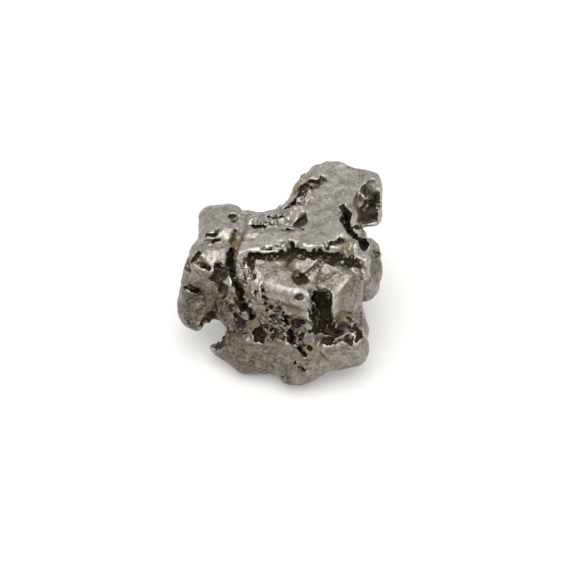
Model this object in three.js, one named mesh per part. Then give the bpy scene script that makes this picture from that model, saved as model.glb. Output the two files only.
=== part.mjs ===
// A native platinum nugget, 7 mm across: one solid lump of metal. A river bed has worn its outer faces
// smooth, and every hollow is still rough, pitted and cracked. It rests on a small worn flat underneath.
// Frame: millimetres, +X right, +Y back, +Z up, with the origin on the ground under the nugget.
//
// The nugget is described as a signed distance field. Lumps of metal melt together, hollows are cut out of
// them, and the surface is where the distance is zero. A grid walked through the field gives the closed
// faceted solid.
import * as THREE from "three";

// ---- Driving dimensions, in millimetres ----
const CELL = 0.22; // spacing of the grid that reads the surface
const LOW = [-3.96, -3.96, -0.33]; // corners of the grid, with room all round the nugget
const HIGH = [3.96, 3.74, 5.83];
const MIDDLE = 2.47; // height of the middle that every side is drawn about
const PLATE_TOP = 4.88; // height of the worn plate on top
const PLATE_FOOT = 4.0; // height that the plate is melted in from
const PLATE_EDGE = 0.06; // rounding of the plate's rim and of the undercut below it
const LEDGE_FLOOR = 4.25; // heights of the undercut below the plate's front edge
const LEDGE_ROOF = 4.62;
const LIP = 0.06; // rounding of every hollow's rim
const RAGGED = 0.05; // how far a hollow's walls wander
const CHIPS = 0.3; // height scale of the chipped metal in the rough patches
const PATCH_DEPTH = 0.8; // how far a rough patch reaches above and below the skin
const PATCH_FADE = 0.2; // width of a rough patch's edge, where the chips grow to full height
const WORN_CHIPS = 0.05; // share of the chips that is left on worn metal
const LOOK_FROM = 6; // how far out of the middle a line of sight starts
const LOOK_STEP = 0.02; // steps in which it looks for the skin
const THIN = 0.05 * CELL; // distance given to a grid point that is filled or cleared by hand
const FAR = 10; // further than any lump is from any point of the grid

// ---- Sides: places are read on a flat view of the nugget, as across, up and out towards the eye ----

// Azimuth 0 looks along +Y, and elevation is the eye's angle above the horizon, both in degrees.
function side(azimuth, elevation) {
  const a = THREE.MathUtils.degToRad(azimuth);
  const e = THREE.MathUtils.degToRad(elevation);
  const right = new THREE.Vector3(Math.cos(a), Math.sin(a), 0);
  const out = new THREE.Vector3(Math.sin(a) * Math.cos(e), -Math.cos(a) * Math.cos(e), Math.sin(e));
  return { right, up: new THREE.Vector3().crossVectors(out, right), out };
}
const DISPLAY = side(0, 45);
const BACK = side(180, 20);
const LEFT = side(-90, 10);
const RIGHT = side(90, 10);
const BELOW = side(0, -70);

function spot(view, across, up, out) {
  return new THREE.Vector3(0, 0, MIDDLE)
    .addScaledVector(view.right, across)
    .addScaledVector(view.up, up)
    .addScaledVector(view.out, out);
}

// The place of a shape in the nugget's frame, with degrees of turn about X, Y and Z.
function at(centre, turn = [0, 0, 0]) {
  const angles = turn.map(THREE.MathUtils.degToRad);
  return new THREE.Matrix4().makeRotationFromEuler(new THREE.Euler(...angles)).setPosition(...centre);
}

// The place of a shape whose X, Y and Z run along a side's right, up and out, spun by degrees about out.
function facing(view, centre, spin = 0) {
  return new THREE.Matrix4()
    .makeBasis(view.right, view.up, view.out)
    .multiply(new THREE.Matrix4().makeRotationZ(THREE.MathUtils.degToRad(spin)))
    .setPosition(centre);
}

// ---- Shapes: functions of a point that give its distance outside the shape, negative inside ----
const clamp = THREE.MathUtils.clamp;

// Puts a shape that was made about its own centre in its place.
function placed(shape, place) {
  const m = place.clone().invert().elements;
  return (x, y, z) =>
    shape(
      m[0] * x + m[4] * y + m[8] * z + m[12],
      m[1] * x + m[5] * y + m[9] * z + m[13],
      m[2] * x + m[6] * y + m[10] * z + m[14],
    );
}

// A block with rounded edges, given by its half sizes.
function block([halfX, halfY, halfZ], round, place) {
  const shape = (x, y, z) => {
    const qx = Math.abs(x) - halfX + round;
    const qy = Math.abs(y) - halfY + round;
    const qz = Math.abs(z) - halfZ + round;
    const outside = Math.hypot(Math.max(qx, 0), Math.max(qy, 0), Math.max(qz, 0));
    return outside + Math.min(Math.max(qx, qy, qz), 0) - round;
  };
  return placed(shape, place);
}

// An egg, given by its radii.
function egg([rx, ry, rz], place) {
  const shape = (x, y, z) => {
    const near = Math.hypot(x / rx, y / ry, z / rz);
    const slope = Math.hypot(x / rx ** 2, y / ry ** 2, z / rz ** 2);
    return slope > 0 ? (near * (near - 1)) / slope : -Math.min(rx, ry, rz);
  };
  return placed(shape, place);
}

// A slab with a free outline in plan, between two heights.
function slab(outline, low, high, round) {
  const middle = (low + high) / 2;
  const half = (high - low) / 2;
  return (x, y, z) => {
    let near = Infinity;
    let inside = false;
    outline.forEach(([ax, ay], i) => {
      const [bx, by] = outline[(i + 1) % outline.length];
      const ex = bx - ax;
      const ey = by - ay;
      const t = clamp(((x - ax) * ex + (y - ay) * ey) / (ex * ex + ey * ey), 0, 1);
      near = Math.min(near, Math.hypot(x - ax - t * ex, y - ay - t * ey));
      if (ay > y !== by > y && x < ((bx - ax) * (y - ay)) / (by - ay) + ax) inside = !inside;
    });
    const flat = (inside ? -near : near) + round;
    const tall = Math.abs(z - middle) - half + round;
    return Math.hypot(Math.max(flat, 0), Math.max(tall, 0)) + Math.min(Math.max(flat, tall), 0) - round;
  };
}

// A ribbon that joins points and hangs down along depth. It narrows as it goes down and towards its ends.
function ribbon(points, depth, width) {
  const dd = depth.lengthSq();
  const runs = points.slice(1).map((end, i) => ({ start: points[i], along: end.clone().sub(points[i]) }));
  const p = new THREE.Vector3();
  return (x, y, z) => {
    let near = Infinity;
    runs.forEach(({ start, along }, i) => {
      p.set(x, y, z).sub(start);
      const ad = along.dot(depth);
      const pd = p.dot(depth);
      const a = clamp((p.dot(along) * dd - pd * ad) / (along.lengthSq() * dd - ad * ad), 0, 1);
      const d = clamp((pd - a * ad) / dd, -0.3, 1);
      p.addScaledVector(along, -a).addScaledVector(depth, -d);
      const end = Math.abs((2 * (i + a)) / runs.length - 1);
      near = Math.min(near, p.length() - (width / 2) * (1 - 0.5 * Math.max(d, 0)) * (1 - 0.4 * end ** 3));
    });
    return near;
  };
}

// Melts two shapes together, with a fillet of about the size of blend.
function melt(a, b, blend) {
  const h = Math.max(blend - Math.abs(a - b), 0) / blend;
  return Math.min(a, b) - (h * h * blend) / 4;
}

// ---- Lumps of metal: each melts into those before it, with its own size of fillet ----
const plate = [
  [-1.3, -1.5], [-0.9, -1.34], [-0.3, -1.39], [0.08, -1.36], [0.14, -0.95], [0.4, -0.98], [1.0, -1.32],
  [1.5, -1.34], [2.0, -1.42], [2.4, -1.65], [2.85, -2.0], [3.05, -1.8], [2.6, -1.25], [2.33, -0.85],
  [1.9, -0.15], [1.9, 0.3], [2.1, 0.65], [2.4, 0.85], [2.6, 1.3], [3.2, 1.5], [3.4, 1.7], [3.0, 2.35],
  [2.4, 2.6], [2.0, 2.85], [1.6, 2.8], [1.25, 2.4], [0.9, 1.9], [0.8, 1.3], [0.67, 0.73], [0.83, 0.05],
  [0.33, -0.46], [-0.6, -0.45], [-0.83, -0.78], [-1.23, -0.9],
];
const lumps = [
  // the body
  [0.3, block([1.85, 1.9, 1.95], 0.5, at([0.7, -0.4, 2.13]))],
  [0.5, egg([1.9, 1.8, 1.3], at([0.4, -0.6, 1.18]))],
  [0.4, block([0.8, 1.0, 1.2], 0.5, at([-1.5, 0.0, 2.2]))],
  // the back, with a boulder, a shoulder and a heel
  [0.5, block([1.9, 1.3, 1.5], 0.85, at([0.6, 0.48, 2.44], [8, -6, 12]))],
  [0.25, egg([1.15, 0.95, 0.95], at([-0.75, 1.25, 1.45], [0, 0, 20]))],
  [0.2, block([0.8, 0.6, 0.65], 0.35, at([0.1, 1.5, 2.8], [20, 10, 35]))],
  [0.3, egg([1.0, 1.0, 1.05], at([1.85, 1.15, 1.35]))],
  // belly, cheek and chin, low on the display side
  [0.4, block([1.75, 1.2, 1.15], 0.85, at([-0.13, -1.68, 1.29], [0, -8, -13]))],
  [0.4, block([0.75, 0.7, 0.95], 0.4, at([-1.3, -1.05, 1.85], [14, 0, -12]))],
  [0.3, egg([1.0, 0.9, 0.9], at([0.75, -2.55, 0.97]))],
  // the steep face below the ledge: its middle, the cliff on its left and the smooth face on its right
  [0.2, block([1.05, 0.8, 1.15], 0.3, at([0.38, -1.76, 3.0], [5, 0, -12]))],
  [0.2, block([0.6, 0.65, 1.4], 0.2, at([-0.95, -1.3, 2.85], [-10, 0, -18]))],
  [0.1, block([0.75, 0.66, 1.1], 0.08, at([1.8, -1.63, 3.0], [4, 2, 41]))],
  // the terrace that slopes down from the ledge, in two parts
  [0.1, block([1.1, 0.8, 0.25], 0.1, at([0.3, -1.58, 4.06], [17, 0, -14]))],
  [0.06, block([0.78, 0.74, 0.2], 0.03, at([1.83, -1.57, 4.06], [16, -4, 41]))],
  // the rim on the right, with its lump, ridge and knuckle
  [0.25, block([0.7, 0.86, 0.95], 0.62, at([2.71, 0.14, 2.37], [14, 0, 8]))],
  [0.15, egg([0.5, 0.55, 0.5], at([2.7, 1.1, 1.75], [0, 0, 30]))],
  [0.15, block([0.3, 0.8, 0.3], 0.2, at([2.1, -0.55, 1.3], [30, 20, 0]))],
  [0.1, egg([0.19, 0.24, 0.22], at([2.6, 0.62, 3.43]))],
  // the lobe at the lower right
  [0.1, block([0.84, 0.75, 0.78], 0.45, at([1.94, -2.28, 1.41], [8, 0, 14]))],
  [0.15, egg([0.36, 0.4, 0.38], at([2.5, -1.85, 1.72]))],
  // the horn, its arm, its spur, its root and its shoulder
  [0.3, block([0.95, 1.15, 1.3], 0.42, at([1.7, 1.68, 3.5], [0, 4, -12]))],
  [0.2, block([0.42, 0.74, 0.82], 0.33, at([2.98, 1.74, 4.09], [-3, 4, -9]))],
  [0.2, block([0.5, 0.4, 0.9], 0.3, at([1.25, 2.5, 3.5], [12, 8, 25]))],
  [0.4, egg([0.85, 0.9, 1.1], at([0.85, 1.32, 3.5]))],
  [0.2, egg([0.45, 0.5, 0.7], at([0.87, 1.72, 4.3]))],
  [0.15, egg([0.3, 0.3, 0.3], at([0.99, 2.22, 4.45]))],
  // the knob on the left, the facet that slopes down from it and its shoulder
  [0.2, block([0.82, 1.05, 0.85], 0.54, at([-1.94, 0.4, 3.65], [-4, 0, 4]))],
  [0.15, block([0.52, 0.75, 0.5], 0.15, at([-2.0, -0.45, 3.55], [45, 0, -4]))],
  [0.25, egg([0.4, 0.5, 0.45], at([-1.12, 1.15, 3.55]))],
  // the saddle between knob and horn
  [0.25, block([1.15, 0.8, 0.5], 0.3, at([-0.12, 0.1, 4.12], [-13, 0, 0]))],
  // the flank and the paw that hangs from it, and the jaw that faces the paw across the notch
  [0.2, block([0.7, 0.8, 1.2], 0.4, at([-2.47, -0.45, 2.6], [0, 9, -8]))],
  [0.3, egg([0.65, 0.65, 0.75], at([-2.7, -1.05, 1.68]))],
  [0.3, egg([0.85, 0.55, 0.55], at([-1.6, -1.68, 0.72]))],
  // the shiny brow, the step behind it and the worn plate on top
  [0.2, egg([0.6, 0.38, 0.36], at([0.42, -2.3, 3.74], [0, 5, -8]))],
  [0.08, block([0.44, 0.34, 0.22], 0.05, at([0.88, -1.44, 4.21], [13, -6, 41]))],
  [0.08, slab(plate, PLATE_FOOT, PLATE_TOP, PLATE_EDGE)],
];

// All the lumps, bent by slow waves so that no face is flat and no edge straight.
const { sin } = Math;
const sway = [
  (x, y, z) => 0.08 * sin(1.5 * y + 0.8 * z + 0.5) + 0.03 * sin(3.9 * z - 2.1 * y) + 0.015 * sin(8.1 * y),
  (x, y, z) => 0.08 * sin(1.3 * z + 1.1 * x + 1.9) + 0.03 * sin(4.1 * x + 1.3 * z) + 0.015 * sin(8.7 * z),
  (x, y, z) => 0.06 * sin(1.6 * x - 1.2 * y + 0.7) + 0.02 * sin(3.7 * y + 2.6 * x) + 0.01 * sin(7.9 * x),
];
function metal(x, y, z) {
  const bent = [x, y, z].map((place, k) => place + sway[k](x, y, z));
  let near = FAR;
  for (const [blend, shape] of lumps) near = melt(near, shape(...bent), blend);
  return near;
}

// The point where the metal first shows at a place on a side.
function onSkin(view, across, up) {
  for (let out = LOOK_FROM; out > -LOOK_FROM; out -= LOOK_STEP) {
    const p = spot(view, across, up, out);
    if (metal(p.x, p.y, p.z) < 0) return p;
  }
  throw new Error(`no metal shows at ${across}, ${up}`);
}

// An egg centred where the metal first shows: a pit when it is cut out, a crumb when it is added.
function eggOn(view, across, up, size, spin) {
  return egg(size, facing(view, onSkin(view, across, up), spin));
}
function crevice(view, width, depth, places) {
  const points = places.map(([across, up]) => onSkin(view, across, up));
  return ribbon(points, view.out.clone().multiplyScalar(-depth), width);
}

// ---- Hollows: pits, crevices and the gaps between lumps ----
const undercut = [
  [-1.1, -1.28], [-0.98, -1.6], [0.0, -1.6], [0.4, -1.3], [1.2, -1.5], [2.0, -1.6], [2.4, -1.85], [2.8, -2.2],
  [2.75, -1.9], [2.4, -1.4], [2.0, -1.0], [1.3, -0.85], [0.4, -0.7], [-0.3, -0.85], [-0.95, -1.08],
];

const hollows = [
  // the deep pocket and the undercut of the ledge
  block([0.34, 0.7, 1.05], 0.1, facing(DISPLAY, spot(DISPLAY, 1.3, -1.28, 2.4), 2)),
  block([0.24, 0.62, 1.2], 0.1, facing(DISPLAY, spot(DISPLAY, 1.5, -1.38, 2.4), 8)),
  slab(undercut, LEDGE_FLOOR, LEDGE_ROOF, PLATE_EDGE),
  // the notch that goes right through under the paw, the horn's scoop and the brow's dimple
  block([0.5, 0.4, 4], 0.38, facing(DISPLAY, spot(DISPLAY, -2.23, -2.0, 0), 26)),
  block([0.26, 0.62, 0.42], 0.22, facing(DISPLAY, onSkin(DISPLAY, 2.98, 2.3), -5)),
  eggOn(DISPLAY, 0.6, -0.85, [0.17, 0.11, 0.11]),
  // the great crevice between the flank and the cliff
  crevice(DISPLAY, 0.3, 1.0, [[-1.63, 0.73], [-1.6, 0.07], [-1.45, -0.4], [-1.23, -0.87], [-0.93, -1.5]]),
  // the horn's cleft and the pits along its left edge
  crevice(DISPLAY, 0.36, 0.8, [[2.08, 2.05], [2.17, 1.7], [2.33, 1.35], [2.5, 1.05]]),
  crevice(DISPLAY, 0.28, 0.2, [[1.4, 3.1], [0.95, 2.93], [0.7, 2.55], [0.5, 2.3], [0.2, 2.08]]),
  crevice(DISPLAY, 0.2, 0.2, [[1.35, 2.93], [1.05, 2.8]]),
  eggOn(DISPLAY, 0.77, 1.85, [0.12, 0.14, 0.18], -30),
  // the pit below the knuckle
  eggOn(DISPLAY, 2.73, 0.88, [0.17, 0.26, 0.5], 30),
  // the saddle between knob and horn
  crevice(DISPLAY, 0.22, 0.4, [[-0.9, 1.53], [-0.5, 1.52], [-0.2, 1.48]]),
  crevice(DISPLAY, 0.16, 0.3, [[-0.45, 1.85], [-0.1, 1.75], [0.15, 1.8]]),
  // the knob: its pit, the groove beside it, and the pits round its facet
  eggOn(DISPLAY, -1.6, 1.83, [0.22, 0.13, 0.14], -50),
  crevice(DISPLAY, 0.28, 0.15, [[-1.55, 1.3], [-1.45, 0.6]]),
  eggOn(DISPLAY, -2.75, 0.5, [0.19, 0.19, 0.3]),
  eggOn(DISPLAY, -2.53, 0.22, [0.18, 0.14, 0.3], -30),
  eggOn(DISPLAY, -1.9, 0.12, [0.28, 0.14, 0.4]),
  eggOn(DISPLAY, -2.0, -0.2, [0.3, 0.26, 0.35]),
  // the fold in the flank
  crevice(DISPLAY, 0.15, 0.35, [[-3.1, -0.42], [-2.85, -0.6], [-2.58, -0.7]]),
  // the plate's pit and the terrace's pit
  eggOn(DISPLAY, 1.93, 0.97, [0.24, 0.12, 0.3]),
  eggOn(DISPLAY, 1.75, 0.93, [0.26, 0.1, 0.25], 8),
  eggOn(DISPLAY, 0.63, -0.23, [0.28, 0.27, 0.3]),
  // the broken ground under the brow
  eggOn(DISPLAY, 0.5, -1.62, [0.42, 0.17, 0.3]),
  crevice(DISPLAY, 0.28, 0.6, [[0.15, -1.45], [0.35, -1.95], [0.5, -2.35], [0.8, -2.75]]),
  block([0.17, 0.25, 0.35], 0.06, facing(DISPLAY, onSkin(DISPLAY, -0.68, -2.1))),
  eggOn(DISPLAY, -0.2, -1.95, [0.22, 0.16, 0.16]),
  crevice(DISPLAY, 0.11, 0.2, [[-0.55, -0.55], [-0.5, -1.0], [-0.3, -1.6]]),
  crevice(DISPLAY, 0.12, 0.25, [[-0.1, -0.95], [0.02, -1.5]]),
  // the hollow in the paw's foot and the one in the jaw
  block([0.32, 0.14, 0.6], 0.1, facing(DISPLAY, onSkin(DISPLAY, -2.37, -1.52), 20)),
  eggOn(DISPLAY, -1.98, -2.36, [0.4, 0.22, 0.45], 36),
  // the lobe's pits, the grooves over it and the crescent crack in the chin
  eggOn(DISPLAY, 1.66, -2.23, [0.24, 0.12, 0.25]),
  eggOn(DISPLAY, 2.35, -2.25, [0.11, 0.1, 0.15]),
  eggOn(DISPLAY, 2.62, -2.15, [0.14, 0.2, 0.2]),
  crevice(DISPLAY, 0.16, 0.12, [[1.9, -1.42], [2.3, -1.45], [2.6, -1.75]]),
  crevice(DISPLAY, 0.18, 0.25, [[0.9, -1.93], [1.4, -1.98], [1.95, -1.95]]),
  eggOn(DISPLAY, 2.55, -1.95, [0.15, 0.25, 0.2], -15),
  crevice(DISPLAY, 0.09, 0.2, [[0.5, -2.95], [0.65, -3.1], [0.95, -3.2]]),
  // the back
  crevice(BACK, 0.3, 0.5, [[-0.75, 1.0], [-0.4, 0.65], [-0.55, 0.2], [-0.95, -0.1], [-0.35, -1.1]]),
  crevice(BACK, 0.26, 0.45, [[0.75, 0.85], [1.1, 0.5], [1.0, 0.1], [1.25, -0.4], [0.95, -0.8]]),
  eggOn(BACK, 0.3, 0.25, [0.5, 0.3, 0.4], 30),
  eggOn(BACK, -1.95, 0.7, [0.3, 0.42, 0.3], 15),
  eggOn(BACK, -1.6, 0.1, [0.34, 0.2, 0.25], -35),
  eggOn(BACK, -1.8, -0.9, [0.3, 0.2, 0.25], -20),
  eggOn(BACK, 0.5, -1.4, [0.3, 0.18, 0.25], 15),
  crevice(BACK, 0.18, 0.25, [[-2.6, 0.4], [-2.2, 0.1], [-2.1, -0.4]]),
  // the left end
  crevice(LEFT, 0.26, 0.4, [[-1.3, 0.55], [-0.75, 0.35], [-0.45, -0.1], [0.05, -0.4], [-0.2, -1.1]]),
  eggOn(LEFT, -0.9, 0.85, [0.26, 0.18, 0.2]),
  eggOn(LEFT, 0.7, 0.55, [0.22, 0.3, 0.25], 25),
  // the right end
  crevice(RIGHT, 0.28, 0.4, [[0.3, -0.3], [0.0, -0.8], [0.2, -1.3]]),
  crevice(RIGHT, 0.22, 0.4, [[0.3, 1.3], [0.8, 0.95], [1.3, 1.1], [1.9, 0.95]]),
  eggOn(RIGHT, 0.35, 0.1, [0.24, 0.3, 0.25], 20),
  eggOn(RIGHT, 1.5, -0.3, [0.3, 0.2, 0.25], -30),
  // the sole
  crevice(BELOW, 0.26, 0.35, [[-1.5, 0.2], [-1.2, -0.5], [-1.5, -1.1]]),
  crevice(BELOW, 0.3, 0.3, [[0.2, 1.5], [0.55, 1.0], [0.3, 0.6], [0.6, 0.2]]),
  eggOn(BELOW, 1.9, -0.9, [0.3, 0.24, 0.25]),
  eggOn(BELOW, 1.3, 0.9, [0.35, 0.25, 0.25], 30),
  eggOn(BELOW, -0.6, 0.5, [0.3, 0.22, 0.22], -40),
  eggOn(BELOW, 0.4, -1.3, [0.5, 0.3, 0.25], 15),
];

// The walls of every hollow wander, because the river never reached in to wear them.
const wander = [
  (x, y, z) => sin(9 * y + 4 * z) + 0.6 * sin(17 * z + 5 * y),
  (x, y, z) => sin(8 * z + 5 * x) + 0.6 * sin(19 * x - 7 * z),
  (x, y, z) => sin(9 * x - 4 * y) + 0.6 * sin(16 * y + 6 * x),
];

// Crumbs of metal that were left standing in the rough ground.
const crumbs = [
  eggOn(DISPLAY, -1.67, -0.33, [0.13, 0.2, 0.14]),
  eggOn(DISPLAY, -2.07, -0.67, [0.14, 0.15, 0.13]),
  eggOn(DISPLAY, -1.43, -1.17, [0.14, 0.15, 0.13]),
  eggOn(DISPLAY, -1.18, -1.42, [0.22, 0.2, 0.16]),
  block([0.58, 0.24, 0.2], 0.08, at(onSkin(DISPLAY, 0.32, 1.68), [28, 0, 46])),
  eggOn(DISPLAY, 0.2, 0.83, [0.12, 0.14, 0.25]),
  eggOn(DISPLAY, 0.5, -2.42, [0.14, 0.12, 0.16]),
];

// ---- Rough patches, where the metal is chipped and hackly ----
function patch(view, across, up, wide, tall) {
  return egg([wide, tall, PATCH_DEPTH], facing(view, onSkin(view, across, up)));
}
const patches = [
  // the cliff, the broken ground, the cheek and the saddle
  patch(DISPLAY, -0.95, -0.8, 0.5, 1.05),
  patch(DISPLAY, -1.15, -0.05, 0.45, 0.7),
  patch(DISPLAY, 0.1, -1.7, 0.9, 0.7),
  patch(DISPLAY, -1.6, -1.3, 0.5, 0.7),
  patch(DISPLAY, -0.5, 1.65, 0.6, 0.35),
  // the horn's left edge, the plate's right end and the ground over the lobe
  patch(DISPLAY, 0.78, 2.5, 0.38, 0.6),
  patch(DISPLAY, 2.3, 0.8, 0.4, 0.4),
  patch(DISPLAY, -2.65, 0.35, 0.3, 0.3),
  patch(DISPLAY, -1.25, -1.95, 0.45, 0.4),
  patch(DISPLAY, 2.5, -1.6, 0.4, 0.5),
  // the hidden sides
  patch(BACK, 0.3, 0.3, 0.9, 0.6),
  patch(BACK, -1.2, -0.6, 0.8, 0.5),
  patch(LEFT, -0.7, -0.2, 0.6, 0.9),
  patch(RIGHT, 1.0, -0.2, 0.5, 0.8),
  patch(BELOW, -1.3, -0.2, 0.6, 0.8),
];
function chips(x, y, z) {
  const cuts = [
    5.5 * x + 2.1 * y + 1.5 * z,
    2.3 * x - 5.1 * y + 2.7 * z + 1,
    1.1 * x + 2.9 * y - 5.3 * z + 2,
  ];
  const average = 2 / Math.PI;
  return cuts.reduce((sum, turn) => sum + Math.abs(sin(turn)) - average, 0) / cuts.length;
}

// ---- The whole nugget, cut off flat where it rests on the ground ----
function nuggetField(x, y, z) {
  const rough = Math.min(...patches.map((shape) => shape(x, y, z)));
  let near = metal(x, y, z) + CHIPS * chips(x, y, z) * clamp(-rough / PATCH_FADE, WORN_CHIPS, 1);
  const ragged = [x, y, z].map((place, k) => place + RAGGED * wander[k](x, y, z));
  for (const shape of hollows) near = -melt(-near, shape(...ragged), LIP);
  for (const shape of crumbs) near = melt(near, shape(...ragged), LIP);
  return Math.max(near, -z);
}

// Reads a field on a grid and gives the closed surface where it is zero: one point in every cell that the
// surface passes through, and one four-sided face across every grid edge that it cuts.
function skin(field) {
  const [nx, ny, nz] = [0, 1, 2].map((k) => Math.round((HIGH[k] - LOW[k]) / CELL) + 1);
  const steps = [1, nx, nx * ny];
  const each = (last, visit) => {
    for (let k = 0; k < nz - last; k++) {
      for (let j = 0; j < ny - last; j++) {
        for (let i = 0; i < nx - last; i++) visit(i + nx * (j + ny * k), [i, j, k]);
      }
    }
  };
  const values = new Float32Array(nx * ny * nz);
  each(0, (n, place) => {
    values[n] = field(...place.map((g, m) => LOW[m] + g * CELL));
  });
  fillPinches(values, steps, each);
  const heart = [0, 0, MIDDLE].map((place, k) => Math.round((place - LOW[k]) / CELL));
  keepOneBody(values, steps, heart[0] + steps[1] * heart[1] + steps[2] * heart[2]);

  const crosses = (n, axis) => values[n] < 0 !== values[n + steps[axis]] < 0;
  const points = [];
  const pointOf = new Int32Array(values.length).fill(-1);
  each(1, (n, place) => {
    const sum = [0, 0, 0];
    let cuts = 0;
    for (let axis = 0; axis < 3; axis++) {
      const [b, c] = [(axis + 1) % 3, (axis + 2) % 3];
      for (const [atB, atC] of [[0, 0], [1, 0], [0, 1], [1, 1]]) {
        const from = n + atB * steps[b] + atC * steps[c];
        if (!crosses(from, axis)) continue;
        sum[axis] += values[from] / (values[from] - values[from + steps[axis]]);
        sum[b] += atB;
        sum[c] += atC;
        cuts++;
      }
    }
    if (!cuts) return;
    pointOf[n] = points.length / 3;
    points.push(...place.map((g, m) => LOW[m] + (g + sum[m] / cuts) * CELL));
  });

  const triangles = [];
  const corner = (p) => new THREE.Vector3().fromArray(points, 3 * p);
  each(1, (n, place) => {
    for (let axis = 0; axis < 3; axis++) {
      const [b, c] = [(axis + 1) % 3, (axis + 2) % 3];
      if (place[b] === 0 || place[c] === 0 || !crosses(n, axis)) continue;
      const ring = [n - steps[b] - steps[c], n - steps[c], n, n - steps[b]].map((m) => pointOf[m]);
      if (values[n] >= 0) ring.reverse();
      const [p, q, r, s] = ring.map(corner);
      if (p.distanceTo(r) > q.distanceTo(s)) ring.push(ring.shift());
      triangles.push(ring[0], ring[1], ring[2], ring[0], ring[2], ring[3]);
    }
  });
  return new THREE.BufferGeometry()
    .setAttribute("position", new THREE.Float32BufferAttribute(points, 3))
    .setIndex(triangles);
}

// Fills the grid points where two bits of metal would meet only at an edge or a corner, so that the surface
// is one clean closed sheet.
function fillPinches(values, steps, each) {
  const isMetal = (n) => values[n] < 0;
  const fill = (n) => {
    values[n] = -THIN;
    filled = true;
  };
  const cornerOf = (c) => (c & 1) + ((c & 2) / 2) * steps[1] + (c >> 2) * steps[2];
  const corners = [0, 1, 2, 3, 4, 5, 6, 7].map(cornerOf);
  let filled = true;
  while (filled) {
    filled = false;
    each(1, (n) => {
      for (let axis = 0; axis < 3; axis++) {
        const [s, t] = [steps[axis], steps[(axis + 1) % 3]];
        const [p, q, r, u] = [n, n + s, n + s + t, n + t].map(isMetal);
        if (p === r && q === u && p !== q) fill(p ? n + s : n);
      }
      const solid = corners.map((c) => isMetal(n + c));
      const count = solid.filter(Boolean).length;
      for (let c = 0; c < 4; c++) {
        if (solid[c] !== solid[7 - c]) continue;
        if (count === 2 && solid[c]) fill(n + corners[c ^ 1]);
        if (count === 6 && !solid[c]) fill(n + corners[c]);
      }
    });
  }
}

// Fills the bubbles sealed inside the metal, and clears the specks that float free of it.
function keepOneBody(values, steps, heart) {
  const reach = (start) => {
    const found = new Uint8Array(values.length);
    const waiting = [start];
    found[start] = 1;
    while (waiting.length) {
      const n = waiting.pop();
      for (const m of steps.flatMap((step) => [n - step, n + step])) {
        if (m < 0 || m >= values.length || found[m]) continue;
        if (values[m] < 0 !== values[start] < 0) continue;
        found[m] = 1;
        waiting.push(m);
      }
    }
    return found;
  };
  const air = reach(0);
  const body = reach(heart);
  for (let n = 0; n < values.length; n++) {
    if (values[n] < 0 && !body[n]) values[n] = THIN;
    else if (values[n] >= 0 && !air[n]) values[n] = -THIN;
  }
}

const nugget = new THREE.Mesh(
  skin(nuggetField),
  new THREE.MeshStandardMaterial({ color: "#8f8981", metalness: 1, roughness: 0.45 }),
);
nugget.name = "nugget";

const specimen = new THREE.Group();
specimen.add(nugget);
export default specimen;
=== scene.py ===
# %% [markdown]
# # A native platinum nugget
#
# A nugget is one lump of natural metal. It grew as crystals in rock, so it broke out hackly, with sharp
# crumbs and deep gaps. Then a river rolled it among pebbles. That hammered every outer face smooth, and
# left the hollows as they were, with brown mud packed into them.
#
# So the model has two jobs: a shape that is smooth outside and broken inside, and one metal finish that
# knows which is which. Everything is worked out in millimetres and turned to metres when the mesh is made.

# %% Load the frame
import math

import bpy
import numpy as np
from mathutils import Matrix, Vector


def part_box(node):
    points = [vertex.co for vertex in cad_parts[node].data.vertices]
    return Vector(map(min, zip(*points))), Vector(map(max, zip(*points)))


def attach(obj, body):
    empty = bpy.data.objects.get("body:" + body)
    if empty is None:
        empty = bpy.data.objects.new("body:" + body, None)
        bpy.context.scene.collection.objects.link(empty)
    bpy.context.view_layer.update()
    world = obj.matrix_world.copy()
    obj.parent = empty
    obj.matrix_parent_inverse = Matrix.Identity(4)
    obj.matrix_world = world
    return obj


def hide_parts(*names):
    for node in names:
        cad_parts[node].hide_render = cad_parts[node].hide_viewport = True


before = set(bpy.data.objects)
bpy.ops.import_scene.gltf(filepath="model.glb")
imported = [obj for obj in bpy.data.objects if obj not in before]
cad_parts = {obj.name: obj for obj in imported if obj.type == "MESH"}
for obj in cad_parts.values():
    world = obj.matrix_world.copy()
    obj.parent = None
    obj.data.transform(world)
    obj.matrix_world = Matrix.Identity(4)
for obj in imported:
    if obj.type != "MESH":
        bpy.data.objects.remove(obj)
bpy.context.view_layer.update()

MM = 0.001  # metres in one millimetre
nugget_low, nugget_high = (np.array(corner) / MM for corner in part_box("nugget"))
print("the solid is", np.round(nugget_high - nugget_low, 2), "mm")

# %% [markdown]
# ## How the shape is described
#
# Sculpting by hand or displacing a ball could both make a lump like this, but neither gives deep gaps that
# reach under a ledge. A signed distance field does. Each lump of metal is a formula for how far a point is
# outside it. Lumps melt together by taking the smaller of two distances, and hollows are cut by taking the
# larger. The surface is wherever the distance is zero.
#
# Places are read on a flat view of one side, as across, up and out towards the eye.

# %% Sides and places
MIDDLE = 2.47  # height of the middle that every side is drawn about, in mm


def side(azimuth, elevation):
    """The directions across, up and out of one side, which is named by two angles."""
    a, e = math.radians(azimuth), math.radians(elevation)
    right = np.array([math.cos(a), math.sin(a), 0])
    out = np.array([math.sin(a) * math.cos(e), -math.cos(a) * math.cos(e), math.sin(e)])
    return np.array([right, np.cross(out, right), out])


DISPLAY, BACK = side(0, 45), side(180, 20)
LEFT, RIGHT = side(-90, 10), side(90, 10)
BELOW = side(0, -70)


def spot(view, across, up, out):
    """The point at a place on one side."""
    return np.array([0, 0, MIDDLE]) + np.array([across, up, out]) @ view


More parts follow.
